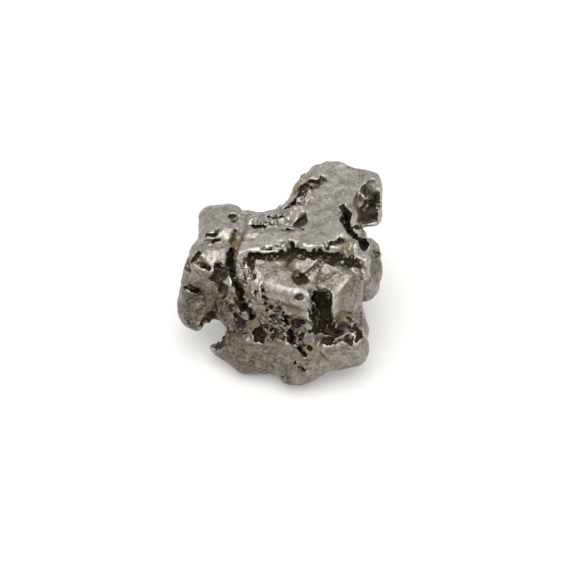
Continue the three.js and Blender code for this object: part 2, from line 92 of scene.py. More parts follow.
def turned(x=0, y=0, z=0):
    """The rotation by degrees about Z, then Y, then X."""
    turn = np.eye(3)
    for axis, angle in enumerate((x, y, z)):
        c, s = math.cos(math.radians(angle)), math.sin(math.radians(angle))
        one = np.eye(3)
        j, k = (axis + 1) % 3, (axis + 2) % 3
        one[j, j], one[j, k], one[k, j], one[k, k] = c, -s, s, c
        turn = turn @ one
    return turn


def at(centre, turn=(0, 0, 0)):
    """A centre and a turn in the nugget's own axes."""
    return np.array(centre), turned(*turn)


def facing(view, centre, spin=0):
    """A centre and a turn in the axes of one side."""
    return np.array(centre), view.T @ turned(z=spin)


print("five sides are drawn about a middle", MIDDLE, "mm up")

# %% [markdown]
# ## Four kinds of shape
#
# Rounded blocks and eggs make the lumps and the pits. A slab with a free outline makes the worn plate on
# top. A ribbon that hangs down from a line of points makes a crevice. Each shape keeps its centre and its
# reach, so that later it is worked out only for points close to it.

# %% Shapes
ABOVE_SKIN = 0.3  # share of its depth that a ribbon starts above its line of points
FOOT_TAPER = 0.5  # share of its width that it loses towards its foot
END_TAPER = 0.4  # and towards its two ends


class Shape:
    """A shape as its centre, its reach and its distance formula."""

    sway = np.ones(3, np.float32)  # how far its walls wander along x, y and z

    def __init__(self, centre, reach, distance):
        self.centre, self.reach, self.distance = np.asarray(centre, np.float32), reach, distance


def length(v):
    """How long each of some vectors is."""
    return np.sqrt((v * v).sum(-1))


def block(half, rounding, place):
    """A block with rounded edges, from half its size each way."""
    centre, turn = place
    core = np.array(half, np.float32) - rounding

    def distance(p):
        q = np.abs((p - centre) @ turn) - core
        return length(np.maximum(q, 0)) + np.minimum(q.max(-1), 0) - rounding

    return Shape(centre, np.linalg.norm(half), distance)


def egg(radii, place):
    """A ball with its own radius each way."""
    centre, turn = place
    r = np.array(radii, np.float32)

    def distance(p):
        q = (p - centre) @ turn
        near = length(q / r)
        return near * (near - 1) / np.maximum(length(q / r**2), 1e-6)

    return Shape(centre, max(radii), distance)


def slab(outline, low, high, rounding):
    """A level slab between two heights, with a free outline seen from above."""
    outline = np.array(outline)
    ends = np.roll(outline, -1, axis=0)
    middle, half = (low + high) / 2, (high - low) / 2

    def distance(p):
        near = np.full(len(p), np.inf, np.float32)
        inside = np.zeros(len(p), bool)
        for a, b in zip(outline, ends):
            along = b - a
            q = p[:, :2] - a
            t = np.clip(q @ along / (along @ along), 0, 1)
            near = np.minimum(near, length(q - t[:, None] * along))
            spans = (a[1] > p[:, 1]) != (b[1] > p[:, 1])
            if along[1]:
                inside ^= spans & (p[:, 0] < along[0] * q[:, 1] / along[1] + a[0])
        flat = np.where(inside, -near, near) + rounding
        tall = np.abs(p[:, 2] - middle) - half + rounding
        outside = np.hypot(np.maximum(flat, 0), np.maximum(tall, 0))
        return outside + np.minimum(np.maximum(flat, tall), 0) - rounding

    centre = np.append((outline.min(0) + outline.max(0)) / 2, middle)
    return Shape(centre, np.linalg.norm(np.ptp(outline, axis=0)) / 2 + half, distance)


def ribbon(points, depth, width):
    """A wall that hangs from a line of points, and is thinner towards its foot and its two ends."""
    points = np.array(points)
    runs = list(zip(points, points[1:] - points[:-1]))
    dd = depth @ depth

    def distance(p):
        near = np.full(len(p), np.inf, np.float32)
        for i, (start, along) in enumerate(runs):
            q = p - start
            ad = along @ depth
            pd = q @ depth
            a = np.clip((q @ along * dd - pd * ad) / ((along @ along) * dd - ad * ad), 0, 1)
            d = np.clip((pd - a * ad) / dd, -ABOVE_SKIN, 1)
            end = np.abs(2 * (i + a) / len(runs) - 1)
            away = length(q - a[:, None] * along - d[:, None] * depth)
            foot = 1 - FOOT_TAPER * np.maximum(d, 0)
            tips = 1 - END_TAPER * end**3
            near = np.minimum(near, away - width / 2 * foot * tips)
        return near

    centre = (points.min(0) + points.max(0) + depth) / 2
    reach = np.linalg.norm(np.ptp(points, axis=0)) / 2 + math.sqrt(dd) * (0.5 + ABOVE_SKIN) + width
    return Shape(centre, reach, distance)


print("a block, an egg, a slab and a ribbon are ready")

# %% [markdown]
# ## Melting lumps together
#
# Real metal lumps meet in a soft fillet. Where two distances are nearly equal, melt takes a little more off
# the smaller one, and that gives the fillet. Only the points within reach of a shape need it.

# %% Melt
FAR = 10  # mm, further than any lump is from any point of the grid
LUMP_MARGIN = 1  # mm round a lump in which it is worked out


def melt(a, b, blend):
    """The smaller of two distances, with a fillet where they are nearly equal."""
    h = np.maximum(blend - np.abs(a - b), 0) / blend
    return np.minimum(a, b) - h * h * blend / 4


def within(points, shape, margin):
    """Which points lie within a margin of a shape's reach."""
    q = points - shape.centre
    return np.nonzero((q * q).sum(-1) < (shape.reach + margin) ** 2)[0]


def wave(p, *terms):
    """A sum of sine waves, each given as height, run along x, y and z, and start."""
    total = np.zeros(len(p), np.float32)
    for height, x, y, z, start in terms:
        total += height * np.sin(p @ np.array([x, y, z], np.float32) + start)
    return total


print("0.1 mm from each of two lumps, a 0.2 mm fillet leaves", melt(0.1, 0.1, 0.2), "mm")

# %% [markdown]
# ## The lumps
#
# These are the solid's own lumps, with the size of each one's fillet first: the body, the back, the belly,
# the steep face and its terrace, the rim, the lobe, the horn, the knob, the flank and the worn plate. A few
# dozen plain shapes are easier to move about than a sculpted skin. They are bent by slow waves, so that no
# face is flat and no edge straight, as on anything that a river has rolled.

# %% Lumps of metal
PLATE_FOOT, PLATE_TOP = 4.0, 4.88  # heights of the worn plate on top, in mm
PLATE_EDGE = 0.06  # rounding of its rim

plate = [
    (-1.3, -1.5), (-0.9, -1.34), (-0.3, -1.39), (0.08, -1.36), (0.14, -0.95), (0.4, -0.98), (1.0, -1.32),
    (1.5, -1.34), (2.0, -1.42), (2.4, -1.65), (2.85, -2.0), (3.05, -1.8), (2.6, -1.25), (2.33, -0.85),
    (1.9, -0.15), (1.9, 0.3), (2.1, 0.65), (2.4, 0.85), (2.6, 1.3), (3.2, 1.5), (3.4, 1.7), (3.0, 2.35),
    (2.4, 2.6), (2.0, 2.85), (1.6, 2.8), (1.25, 2.4), (0.9, 1.9), (0.8, 1.3), (0.67, 0.73), (0.83, 0.05),
    (0.33, -0.46), (-0.6, -0.45), (-0.83, -0.78), (-1.23, -0.9),
]
lumps = [
    # the body
    (0.3, block([1.85, 1.9, 1.95], 0.5, at([0.7, -0.4, 2.13]))),
    (0.5, egg([1.9, 1.8, 1.3], at([0.4, -0.6, 1.18]))),
    (0.4, block([0.8, 1.0, 1.2], 0.5, at([-1.5, 0.0, 2.2]))),
    # the back, with a boulder, a shoulder and a heel
    (0.5, block([1.9, 1.3, 1.5], 0.85, at([0.6, 0.48, 2.44], [8, -6, 12]))),
    (0.25, egg([1.15, 0.95, 0.95], at([-0.75, 1.25, 1.45], [0, 0, 20]))),
    (0.2, block([0.8, 0.6, 0.65], 0.35, at([0.1, 1.5, 2.8], [20, 10, 35]))),
    (0.3, egg([1.0, 1.0, 1.05], at([1.85, 1.15, 1.35]))),
    # belly, cheek and chin, low on the display side
    (0.4, block([1.75, 1.2, 1.15], 0.85, at([-0.13, -1.68, 1.29], [0, -8, -13]))),
    (0.4, block([0.75, 0.7, 0.95], 0.4, at([-1.3, -1.05, 1.85], [14, 0, -12]))),
    (0.3, egg([1.0, 0.9, 0.9], at([0.75, -2.55, 0.97]))),
    # the steep face below the ledge: its middle, the cliff on its left and the smooth face on its right
    (0.2, block([1.05, 0.8, 1.15], 0.3, at([0.38, -1.76, 3.0], [5, 0, -12]))),
    (0.2, block([0.6, 0.65, 1.4], 0.2, at([-0.95, -1.3, 2.85], [-10, 0, -18]))),
    (0.1, block([0.75, 0.66, 1.1], 0.08, at([1.8, -1.63, 3.0], [4, 2, 41]))),
    # the terrace that slopes down from the ledge, in two parts
    (0.1, block([1.1, 0.8, 0.25], 0.1, at([0.3, -1.58, 4.06], [17, 0, -14]))),
    (0.06, block([0.78, 0.74, 0.2], 0.03, at([1.83, -1.57, 4.06], [16, -4, 41]))),
    # the rim on the right, with its lump, ridge and knuckle
    (0.25, block([0.7, 0.86, 0.95], 0.62, at([2.71, 0.14, 2.37], [14, 0, 8]))),
    (0.15, egg([0.5, 0.55, 0.5], at([2.7, 1.1, 1.75], [0, 0, 30]))),
    (0.15, block([0.3, 0.8, 0.3], 0.2, at([2.1, -0.55, 1.3], [30, 20, 0]))),
    (0.1, egg([0.19, 0.24, 0.22], at([2.6, 0.62, 3.43]))),
    # the lobe at the lower right
    (0.1, block([0.84, 0.75, 0.78], 0.45, at([1.94, -2.28, 1.41], [8, 0, 14]))),
    (0.15, egg([0.36, 0.4, 0.38], at([2.5, -1.85, 1.72]))),
    # the horn, its arm, its spur, its root and its shoulder
    (0.3, block([0.95, 1.15, 1.3], 0.42, at([1.7, 1.68, 3.5], [0, 4, -12]))),
    (0.2, block([0.42, 0.74, 0.82], 0.33, at([2.98, 1.74, 4.09], [-3, 4, -9]))),
    (0.2, block([0.5, 0.4, 0.9], 0.3, at([1.25, 2.5, 3.5], [12, 8, 25]))),
    (0.4, egg([0.85, 0.9, 1.1], at([0.85, 1.32, 3.5]))),
    (0.2, egg([0.45, 0.5, 0.7], at([0.87, 1.72, 4.3]))),
    (0.15, egg([0.3, 0.3, 0.3], at([0.99, 2.22, 4.45]))),
    # the knob on the left, the facet that slopes down from it and its shoulder
    (0.2, block([0.82, 1.05, 0.85], 0.54, at([-1.94, 0.4, 3.65], [-4, 0, 4]))),
    (0.15, block([0.52, 0.75, 0.5], 0.15, at([-2.0, -0.45, 3.55], [45, 0, -4]))),
    (0.25, egg([0.4, 0.5, 0.45], at([-1.12, 1.15, 3.55]))),
    # the saddle between knob and horn
    (0.25, block([1.15, 0.8, 0.5], 0.3, at([-0.12, 0.1, 4.12], [-13, 0, 0]))),
    # the flank and the paw that hangs from it, and the jaw that faces the paw across the notch
    (0.2, block([0.7, 0.8, 1.2], 0.4, at([-2.47, -0.45, 2.6], [0, 9, -8]))),
    (0.3, egg([0.65, 0.65, 0.75], at([-2.7, -1.05, 1.68]))),
    (0.3, egg([0.85, 0.55, 0.55], at([-1.6, -1.68, 0.72]))),
    # the shiny brow, the step behind it and the worn plate on top
    (0.2, egg([0.6, 0.38, 0.36], at([0.42, -2.3, 3.74], [0, 5, -8]))),
    (0.08, block([0.44, 0.34, 0.22], 0.05, at([0.88, -1.44, 4.21], [13, -6, 41]))),
    (0.08, slab(plate, PLATE_FOOT, PLATE_TOP, PLATE_EDGE)),
]


def bent(p):
    """Points moved by slow waves, so that no face is flat and no edge straight."""
    return p + np.stack([
        wave(p, (0.08, 0, 1.5, 0.8, 0.5), (0.03, 0, -2.1, 3.9, 0), (0.015, 0, 8.1, 0, 0)),
        wave(p, (0.08, 1.1, 0, 1.3, 1.9), (0.03, 4.1, 0, 1.3, 0), (0.015, 0, 0, 8.7, 0)),
        wave(p, (0.06, 1.6, -1.2, 0, 0.7), (0.02, 2.6, 3.7, 0, 0), (0.01, 7.9, 0, 0, 0)),
    ], axis=-1)


def metal(p):
    """Distance outside the melted lumps."""
    q = bent(p)
    near = np.full(len(p), FAR, np.float32)
    for blend, shape in lumps:
        close = within(q, shape, LUMP_MARGIN)
        near[close] = melt(near[close], shape.distance(q[close]), blend)
    return near


LOOK_FROM = 6  # mm out of the middle that a line of sight starts
LOOK_STEP = 0.02  # mm between the places that it looks at


def on_skin(view, across, up):
    """The point where the metal first shows at a place on a side."""
    out = np.arange(LOOK_FROM, -LOOK_FROM, -LOOK_STEP)
    line = np.array([spot(view, across, up, o) for o in out], np.float32)
    return line[np.argmax(metal(line) < 0)]


print(len(lumps), "lumps")

# %% [markdown]
# ## The hollows
#
# Pits are eggs centred on the skin, and crevices are ribbons hung from it. They could be drawn by hand with
# a brush, but a brush only pushes the skin in and out, and these gaps run in under the metal beside them.
#
# The walls of a broken hollow wander. Where a hollow's shape is plain to see, it is held steady.

# %% Pits and crevices
def egg_on(view, across, up, size, spin=0):
    """An egg centred where the metal first shows: a pit when it is cut out, a crumb when it is added."""
    return egg(size, facing(view, on_skin(view, across, up), spin))


def crevice(view, width, depth, places):
    """A crack of one width and depth that runs through places on the skin of one side."""
    return ribbon([on_skin(view, *place) for place in places], view[2] * -depth, width)


def steady(shape, sway):
    """The same hollow with walls that wander less."""
    shape.sway = np.array(sway, np.float32)
    return shape


print("a crack starts from the skin, as at", np.round(on_skin(DISPLAY, 0, 0), 2), "mm")

# %% [markdown]
# ## The undercut below the ledge
#
# The worn plate's front edge hangs over a black gap. The gap is a thin slab cut out below the plate, with a
# free outline seen from above. Its right end is a second slab, a little lower, because the terrace in front
# of it slopes down to the right. Both keep a nearly level floor and roof: it is their outline that wanders.

# %% Undercut
UNDERCUT_FLOOR, UNDERCUT_ROOF = 4.36, 4.74  # heights in mm
UNDERCUT_END_FLOOR, UNDERCUT_END_ROOF = 4.32, 4.6
UNDERCUT_EDGE = 0.05  # rounding of both
LEVEL = [1, 1, 0.3]  # sway of a hollow with a level floor

undercut_outline = [
    (-1.1, -1.28), (-0.98, -1.6), (0.0, -1.6), (0.4, -1.3), (1.2, -1.5), (2.0, -1.6), (2.4, -1.85),
    (2.8, -2.2), (2.75, -1.9), (2.4, -1.4), (2.0, -1.0), (1.3, -0.85), (0.4, -0.7), (-0.3, -0.85),
    (-0.95, -1.08),
]
undercut_end_outline = [
    (1.35, -1.5), (2.0, -1.65), (2.9, -2.3), (3.0, -2.0), (2.4, -1.4), (2.0, -1.0), (1.4, -1.0),
]
undercut = steady(slab(undercut_outline, UNDERCUT_FLOOR, UNDERCUT_ROOF, UNDERCUT_EDGE), LEVEL)
undercut_end = steady(
    slab(undercut_end_outline, UNDERCUT_END_FLOOR, UNDERCUT_END_ROOF, UNDERCUT_EDGE), LEVEL)
print("the undercut is", round(UNDERCUT_ROOF - UNDERCUT_FLOOR, 2), "mm high")

# %% [markdown]
# ## Hollows of the display side
#
# These are the solid's own, and they give the nugget its look from a step away: the deep pocket, the great
# crevice, the horn's cleft and the pits of the broken ground. The eye reads them as black, because light
# goes in and hardly comes out again.

# %% Hollows of the display side
display_hollows = [
    # the deep pocket and the undercut of the ledge
    block([0.34, 0.7, 1.05], 0.1, facing(DISPLAY, spot(DISPLAY, 1.3, -1.28, 2.4), 2)),
    block([0.24, 0.62, 1.2], 0.1, facing(DISPLAY, spot(DISPLAY, 1.5, -1.38, 2.4), 8)),
    undercut,
    undercut_end,
    # the great crevice between the flank and the cliff
    crevice(DISPLAY, 0.3, 1.0, [(-1.63, 0.73), (-1.6, 0.07), (-1.45, -0.4), (-1.23, -0.87), (-0.93, -1.5)]),
    # the horn's cleft and the pits along its left edge
    crevice(DISPLAY, 0.36, 0.8, [(2.08, 2.05), (2.17, 1.7), (2.33, 1.35), (2.5, 1.05)]),
    crevice(DISPLAY, 0.28, 0.2, [(1.4, 3.1), (0.95, 2.93), (0.7, 2.55), (0.5, 2.3), (0.2, 2.08)]),
    crevice(DISPLAY, 0.2, 0.2, [(1.35, 2.93), (1.05, 2.8)]),
    egg_on(DISPLAY, 0.77, 1.85, [0.12, 0.14, 0.18], -30),
    # the pit below the knuckle
    egg_on(DISPLAY, 2.73, 0.88, [0.17, 0.26, 0.5], 30),
    # the saddle between knob and horn
    crevice(DISPLAY, 0.22, 0.4, [(-0.9, 1.53), (-0.5, 1.52), (-0.2, 1.48)]),
    crevice(DISPLAY, 0.16, 0.3, [(-0.45, 1.85), (-0.1, 1.75), (0.15, 1.8)]),
    # the knob: its pit, the groove beside it, and the pits round its facet
    egg_on(DISPLAY, -1.6, 1.83, [0.22, 0.13, 0.14], -50),
    crevice(DISPLAY, 0.28, 0.15, [(-1.55, 1.3), (-1.45, 0.6)]),
    egg_on(DISPLAY, -2.75, 0.5, [0.19, 0.19, 0.3]),
    egg_on(DISPLAY, -2.53, 0.22, [0.18, 0.14, 0.3], -30),
    egg_on(DISPLAY, -1.9, 0.12, [0.28, 0.14, 0.4]),
    egg_on(DISPLAY, -2.0, -0.2, [0.3, 0.26, 0.35]),
    # the fold in the flank
    crevice(DISPLAY, 0.15, 0.35, [(-3.1, -0.42), (-2.85, -0.6), (-2.58, -0.7)]),
    # the plate's pit and the terrace's pit
    egg_on(DISPLAY, 1.93, 0.97, [0.24, 0.12, 0.3]),
    egg_on(DISPLAY, 1.75, 0.93, [0.26, 0.1, 0.25], 8),
    egg_on(DISPLAY, 0.63, -0.23, [0.28, 0.27, 0.3]),
    # the broken ground under the brow
    egg_on(DISPLAY, 0.5, -1.62, [0.42, 0.17, 0.3]),
    crevice(DISPLAY, 0.28, 0.6, [(0.15, -1.45), (0.35, -1.95), (0.5, -2.35), (0.8, -2.75)]),
    steady(block([0.17, 0.25, 0.35], 0.06, facing(DISPLAY, on_skin(DISPLAY, -0.68, -2.1))), 0.5),
    egg_on(DISPLAY, -0.2, -1.95, [0.22, 0.16, 0.16]),
    crevice(DISPLAY, 0.11, 0.2, [(-0.55, -0.55), (-0.5, -1.0), (-0.3, -1.6)]),
    crevice(DISPLAY, 0.12, 0.25, [(-0.1, -0.95), (0.02, -1.5)]),
    # the hollow in the paw's foot and the one in the jaw
    block([0.32, 0.14, 0.6], 0.1, facing(DISPLAY, on_skin(DISPLAY, -2.37, -1.52), 20)),
    egg_on(DISPLAY, -1.98, -2.36, [0.4, 0.22, 0.45], 36),
    # the lobe's pits, the grooves over it and the crescent crack in the chin
    egg_on(DISPLAY, 1.66, -2.23, [0.24, 0.12, 0.25]),
    egg_on(DISPLAY, 2.35, -2.25, [0.11, 0.1, 0.15]),
    egg_on(DISPLAY, 2.62, -2.15, [0.14, 0.2, 0.2]),
    crevice(DISPLAY, 0.16, 0.12, [(1.9, -1.42), (2.3, -1.45), (2.6, -1.75)]),
    crevice(DISPLAY, 0.18, 0.25, [(0.9, -1.93), (1.4, -1.98), (1.95, -1.95)]),
    egg_on(DISPLAY, 2.55, -1.95, [0.15, 0.25, 0.2], -15),
    crevice(DISPLAY, 0.09, 0.2, [(0.5, -2.95), (0.65, -3.1), (0.95, -3.2)]),
]
print(len(display_hollows), "hollows on the display side")

# %% [markdown]
# ## Hollows of the other sides
#
# A nugget is as broken behind as in front, and it is turned over in the hand. So the back, both ends and
# the sole get crevices and pits of the same kind and size.

# %% Hollows of the other sides
other_hollows = [
    # the back
    crevice(BACK, 0.3, 0.5, [(-0.75, 1.0), (-0.4, 0.65), (-0.55, 0.2), (-0.95, -0.1), (-0.35, -1.1)]),
    crevice(BACK, 0.26, 0.45, [(0.75, 0.85), (1.1, 0.5), (1.0, 0.1), (1.25, -0.4), (0.95, -0.8)]),
    egg_on(BACK, 0.3, 0.25, [0.5, 0.3, 0.4], 30),
    egg_on(BACK, -1.95, 0.7, [0.3, 0.42, 0.3], 15),
    egg_on(BACK, -1.6, 0.1, [0.34, 0.2, 0.25], -35),
    egg_on(BACK, -1.8, -0.9, [0.3, 0.2, 0.25], -20),
    egg_on(BACK, 0.5, -1.4, [0.3, 0.18, 0.25], 15),
    crevice(BACK, 0.18, 0.25, [(-2.6, 0.4), (-2.2, 0.1), (-2.1, -0.4)]),
    # the left end
    crevice(LEFT, 0.26, 0.4, [(-1.3, 0.55), (-0.75, 0.35), (-0.45, -0.1), (0.05, -0.4), (-0.2, -1.1)]),
    egg_on(LEFT, -0.9, 0.85, [0.26, 0.18, 0.2]),
    egg_on(LEFT, 0.7, 0.55, [0.22, 0.3, 0.25], 25),
    # the right end
    crevice(RIGHT, 0.28, 0.4, [(0.3, -0.3), (0.0, -0.8), (0.2, -1.3)]),
    crevice(RIGHT, 0.22, 0.4, [(0.3, 1.3), (0.8, 0.95), (1.3, 1.1), (1.9, 0.95)]),
    egg_on(RIGHT, 0.35, 0.1, [0.24, 0.3, 0.25], 20),
    egg_on(RIGHT, 1.5, -0.3, [0.3, 0.2, 0.25], -30),
    # the sole
    crevice(BELOW, 0.26, 0.35, [(-1.5, 0.2), (-1.2, -0.5), (-1.5, -1.1)]),
    crevice(BELOW, 0.3, 0.3, [(0.2, 1.5), (0.55, 1.0), (0.3, 0.6), (0.6, 0.2)]),
    egg_on(BELOW, 1.9, -0.9, [0.3, 0.24, 0.25]),
    egg_on(BELOW, 1.3, 0.9, [0.35, 0.25, 0.25], 30),
    egg_on(BELOW, -0.6, 0.5, [0.3, 0.22, 0.22], -40),
    egg_on(BELOW, 0.4, -1.3, [0.5, 0.3, 0.25], 15),
]
print(len(other_hollows), "hollows on the other sides")

# %% [markdown]
# ## Worn hollows
#
# A few hollows stand open, so pebbles did reach their walls: the notch under the paw, the scoop in the
# horn's end, and two lines across the terrace, where one sheet of metal laps over the next. Their rims are
# round, and their walls get no chips.

# %% Worn hollows
worn_hollows = [
    # the notch that goes right through under the paw, and the horn's scoop in two parts
    block([0.5, 0.4, 4], 0.38, facing(DISPLAY, spot(DISPLAY, -2.23, -2.0, 0), 26)),
    block([0.28, 0.7, 0.6], 0.22, facing(DISPLAY, on_skin(DISPLAY, 3.02, 2.32), -5)),
    block([0.27, 0.38, 0.5], 0.2, facing(DISPLAY, on_skin(DISPLAY, 2.98, 1.98), 6)),
    # two lines across the terrace
    steady(crevice(DISPLAY, 0.07, 0.06, [(0.85, -0.1), (1.1, 0.08), (1.4, 0.28)]), 0.2),
    steady(crevice(DISPLAY, 0.05, 0.05, [(1.15, -0.35), (1.5, -0.2), (1.8, 0.0)]), 0.2),
]
print(len(worn_hollows), "worn hollows")

# %% [markdown]
# ## Fine cracks and pits
#
# These are narrower than the solid's own grid, so they are cut here only. The eye takes them as dark lines,
# and they tell it how small the nugget is.

# %% Fine cracks and pits
knob_cracks = [
    crevice(DISPLAY, 0.08, 0.2, [(-2.45, 1.17), (-2.23, 1.2), (-2.13, 1.23), (-2.1, 1.37), (-1.98, 1.45)]),
    crevice(DISPLAY, 0.09, 0.2, [(-2.6, 0.9), (-2.33, 0.97), (-2.17, 1.0), (-2.0, 1.05)]),
]
fine_hollows = [
    # two open cracks across the knob, and the small pits beside them
    *[steady(crack, 0.4) for crack in knob_cracks],
    egg_on(DISPLAY, -1.5, 1.33, [0.14, 0.07, 0.12], -10),
    egg_on(DISPLAY, -1.47, 1.72, [0.12, 0.12, 0.15], -40),
    egg_on(DISPLAY, -2.03, 0.27, [0.12, 0.1, 0.15]),
    # the saddle
    egg_on(DISPLAY, -0.35, 1.72, [0.14, 0.1, 0.15]),
    crevice(DISPLAY, 0.1, 0.2, [(0.05, 1.38), (0.4, 1.42), (0.7, 1.4)]),
    # slits in the cliff and the step
    crevice(DISPLAY, 0.07, 0.2, [(-0.52, -0.4), (-0.5, -0.65)]),
    crevice(DISPLAY, 0.1, 0.15, [(-1.1, -0.2), (-1.05, -0.6), (-0.9, -0.95)]),
    crevice(DISPLAY, 0.08, 0.12, [(-0.8, -0.25), (-0.78, -0.5), (-0.68, -0.8)]),
    crevice(DISPLAY, 0.1, 0.15, [(-0.35, -0.9), (-0.3, -1.3), (-0.15, -1.7)]),
    # the lobe's zigzag, the crest's nick, and the small pits of the right face
    crevice(DISPLAY, 0.1, 0.2, [(1.95, -2.3), (2.13, -2.15), (2.35, -2.35)]),
    egg_on(DISPLAY, 2.3, -0.22, [0.1, 0.05, 0.1]),
    egg_on(DISPLAY, 2.47, -0.8, [0.06, 0.05, 0.06]),
    egg_on(DISPLAY, 2.5, -2.83, [0.05, 0.04, 0.06]),
    # the brow's dimple
    steady(egg_on(DISPLAY, 0.6, -0.85, [0.17, 0.1, 0.12]), 0.3),
    # slivers beside the slanting crevice
    crevice(DISPLAY, 0.1, 0.3, [(0.05, -1.65), (0.12, -2.0), (0.3, -2.25)]),
    crevice(DISPLAY, 0.1, 0.3, [(0.5, -1.7), (0.6, -2.0), (0.75, -2.3), (1.0, -2.5)]),
    # the long crack along the belly's foot
    crevice(DISPLAY, 0.08, 0.25, [(-0.7, -3.42), (-0.3, -3.45), (0.1, -3.42), (0.3, -3.6)]),
]
hollows = display_hollows + other_hollows + worn_hollows + fine_hollows
print(len(fine_hollows), "fine hollows, and", len(hollows), "in all")

# %% [markdown]
# ## Crumbs
#
# Where metal broke, some crumbs were left standing in the gaps. They are melted back in after the hollows
# are cut, so that they bridge a crevice or sit in a pit.

# %% Crumbs
crumbs = [
    egg_on(DISPLAY, -1.67, -0.33, [0.13, 0.2, 0.14]),
    egg_on(DISPLAY, -2.07, -0.67, [0.14, 0.15, 0.13]),
    egg_on(DISPLAY, -1.43, -1.17, [0.14, 0.15, 0.13]),
    egg_on(DISPLAY, -1.18, -1.42, [0.22, 0.2, 0.16]),
    block([0.58, 0.24, 0.2], 0.08, at(on_skin(DISPLAY, 0.32, 1.68), [28, 0, 46])),
    egg_on(DISPLAY, 0.2, 0.83, [0.12, 0.14, 0.25]),
    egg_on(DISPLAY, 0.5, -2.42, [0.14, 0.12, 0.16]),
]
print(len(crumbs), "crumbs")

# %% [markdown]
# ## Rough ground
#
# Unworn platinum is hackly: it broke in small flat chips. It could be drawn as bump in the finish, but its
# edges show against the light, so it is real shape. Patches mark where that ground lies open. The walls of
# every hollow are rough too, because no pebble ever reached in.

# %% Rough ground
PATCH_DEPTH = 0.8  # mm that a patch reaches above and below the skin
LIP_HEIGHT = 4.75  # mm, the middle of the plate's broken lip


def patch(view, across, up, wide, tall):
    """A region of the skin, from half its width and height on one side."""
    return egg([wide, tall, PATCH_DEPTH], facing(view, on_skin(view, across, up)))


lip = [(-1.15, -1.3), (-0.3, -1.25), (0.3, -1.0), (1.2, -1.2), (2.1, -1.3), (2.6, -1.8)]
patches = [
    # the cliff, the broken ground, the cheek and the saddle
    patch(DISPLAY, -0.95, -0.8, 0.5, 1.05),
    patch(DISPLAY, -1.15, -0.05, 0.45, 0.7),
    patch(DISPLAY, 0.1, -1.7, 0.9, 0.7),
    patch(DISPLAY, -1.6, -1.3, 0.5, 0.7),
    patch(DISPLAY, -0.5, 1.65, 0.6, 0.35),
    # the horn's left edge, the plate's right end, the pits by the facet, the cheek's foot and over the lobe
    patch(DISPLAY, 0.78, 2.5, 0.38, 0.6),
    patch(DISPLAY, 2.3, 0.8, 0.4, 0.4),
    patch(DISPLAY, -2.65, 0.35, 0.3, 0.3),
    patch(DISPLAY, -1.25, -1.95, 0.45, 0.4),
    patch(DISPLAY, 2.5, -1.6, 0.4, 0.5),
    # the horn's scoop and the lip of the plate
    patch(DISPLAY, 3.08, 2.4, 0.32, 0.65),
    ribbon([(x, y, LIP_HEIGHT) for x, y in lip], np.array([0, 0, 0.1]), 0.5),
    # the hidden sides
    patch(BACK, 0.3, 0.3, 0.9, 0.6),
    patch(BACK, -1.2, -0.6, 0.8, 0.5),
    patch(LEFT, -0.7, -0.2, 0.6, 0.9),
    patch(RIGHT, 1.0, -0.2, 0.5, 0.8),
    patch(BELOW, -1.3, -0.2, 0.6, 0.8),
]
print(len(patches), "rough patches")

# %% [markdown]
# ## Faces that broke flat
#
# The right face and the terrace are single flat breaks in the metal, and they stay flat beside all the
# lumps. So the dents that the river left elsewhere are shallower on them.

# %% Flat faces
flat_faces = [
    patch(DISPLAY, 2.3, -0.8, 0.5, 0.75),
    patch(DISPLAY, 1.7, -0.25, 0.7, 0.55),
    patch(DISPLAY, 1.0, 0.2, 0.5, 0.35),
    patch(DISPLAY, -0.1, 0.1, 0.7, 0.35),
]
print(len(flat_faces), "flat faces")

# %% [markdown]
# ## Dust, polish and painted light
#
# Three things are marked in places of their own. Pale dust is packed into beds that nothing wipes. A few
# edges are rubbed bright by every hand and pebble, and they are painted paler there as a painted highlight.
# And some quiet faces are darkened and warmed, partly by a thin brown film and partly as painted shade.
# They are marked here, and the finish colours them.

# %% Dust, painted highlights, film and painted shade
dust_beds = [
    # beside the knob, under the ledge, on the plate's right end, in the terrace's pit, in the broken
    # ground, over the lobe and on the horn's left edge
    patch(DISPLAY, -1.4, 0.9, 0.22, 0.45),
    patch(DISPLAY, 0.25, 0.42, 0.35, 0.12),
    patch(DISPLAY, 2.15, 0.85, 0.27, 0.27),
    patch(DISPLAY, 0.63, -0.23, 0.3, 0.3),
    patch(DISPLAY, -0.85, -1.65, 0.13, 0.18),
    patch(DISPLAY, 0.85, -2.6, 0.4, 0.2),
    patch(DISPLAY, 2.1, -1.5, 0.35, 0.2),
    patch(DISPLAY, 0.65, 2.7, 0.25, 0.3),
]
rubbed_highlight_places = [
    # painted highlights on rubbed places: the brow's streak, the crest between the terrace and the right
    # face, and a bar in the saddle
    crevice(DISPLAY, 0.2, 0.1, [(-0.35, -0.36), (0.0, -0.46), (0.35, -0.6), (0.75, -0.62)]),
    crevice(DISPLAY, 0.2, 0.1, [(1.67, -0.72), (2.0, -0.45), (2.35, -0.14)]),
    crevice(DISPLAY, 0.5, 0.1, [(0.0, 1.5), (0.3, 1.7), (0.65, 2.0)]),
]
film_and_shade_places = [
    # film and painted shade: the smooth right face, the terrace, the paw and the flank above it
    patch(DISPLAY, 2.3, -0.8, 0.5, 0.75),
    patch(DISPLAY, 1.7, -0.25, 0.7, 0.55),
    patch(DISPLAY, 0.85, 0.1, 0.5, 0.25),
    patch(DISPLAY, -0.1, 0.1, 0.7, 0.3),
    patch(DISPLAY, -2.95, -1.2, 0.5, 0.5),
    # painted shade with some film: the knuckle, the rim behind it and the horn's scoop
    patch(DISPLAY, 2.65, 1.1, 0.2, 0.2),
    patch(DISPLAY, 3.25, 0.1, 0.25, 0.8),
    patch(DISPLAY, 3.08, 2.5, 0.3, 0.5),
]
# the bright edges are painted highlights, and the filmed places are painted shade with some film
print(len(dust_beds), "beds of dust,", len(rubbed_highlight_places), "bright edges and",
      len(film_and_shade_places), "filmed places")

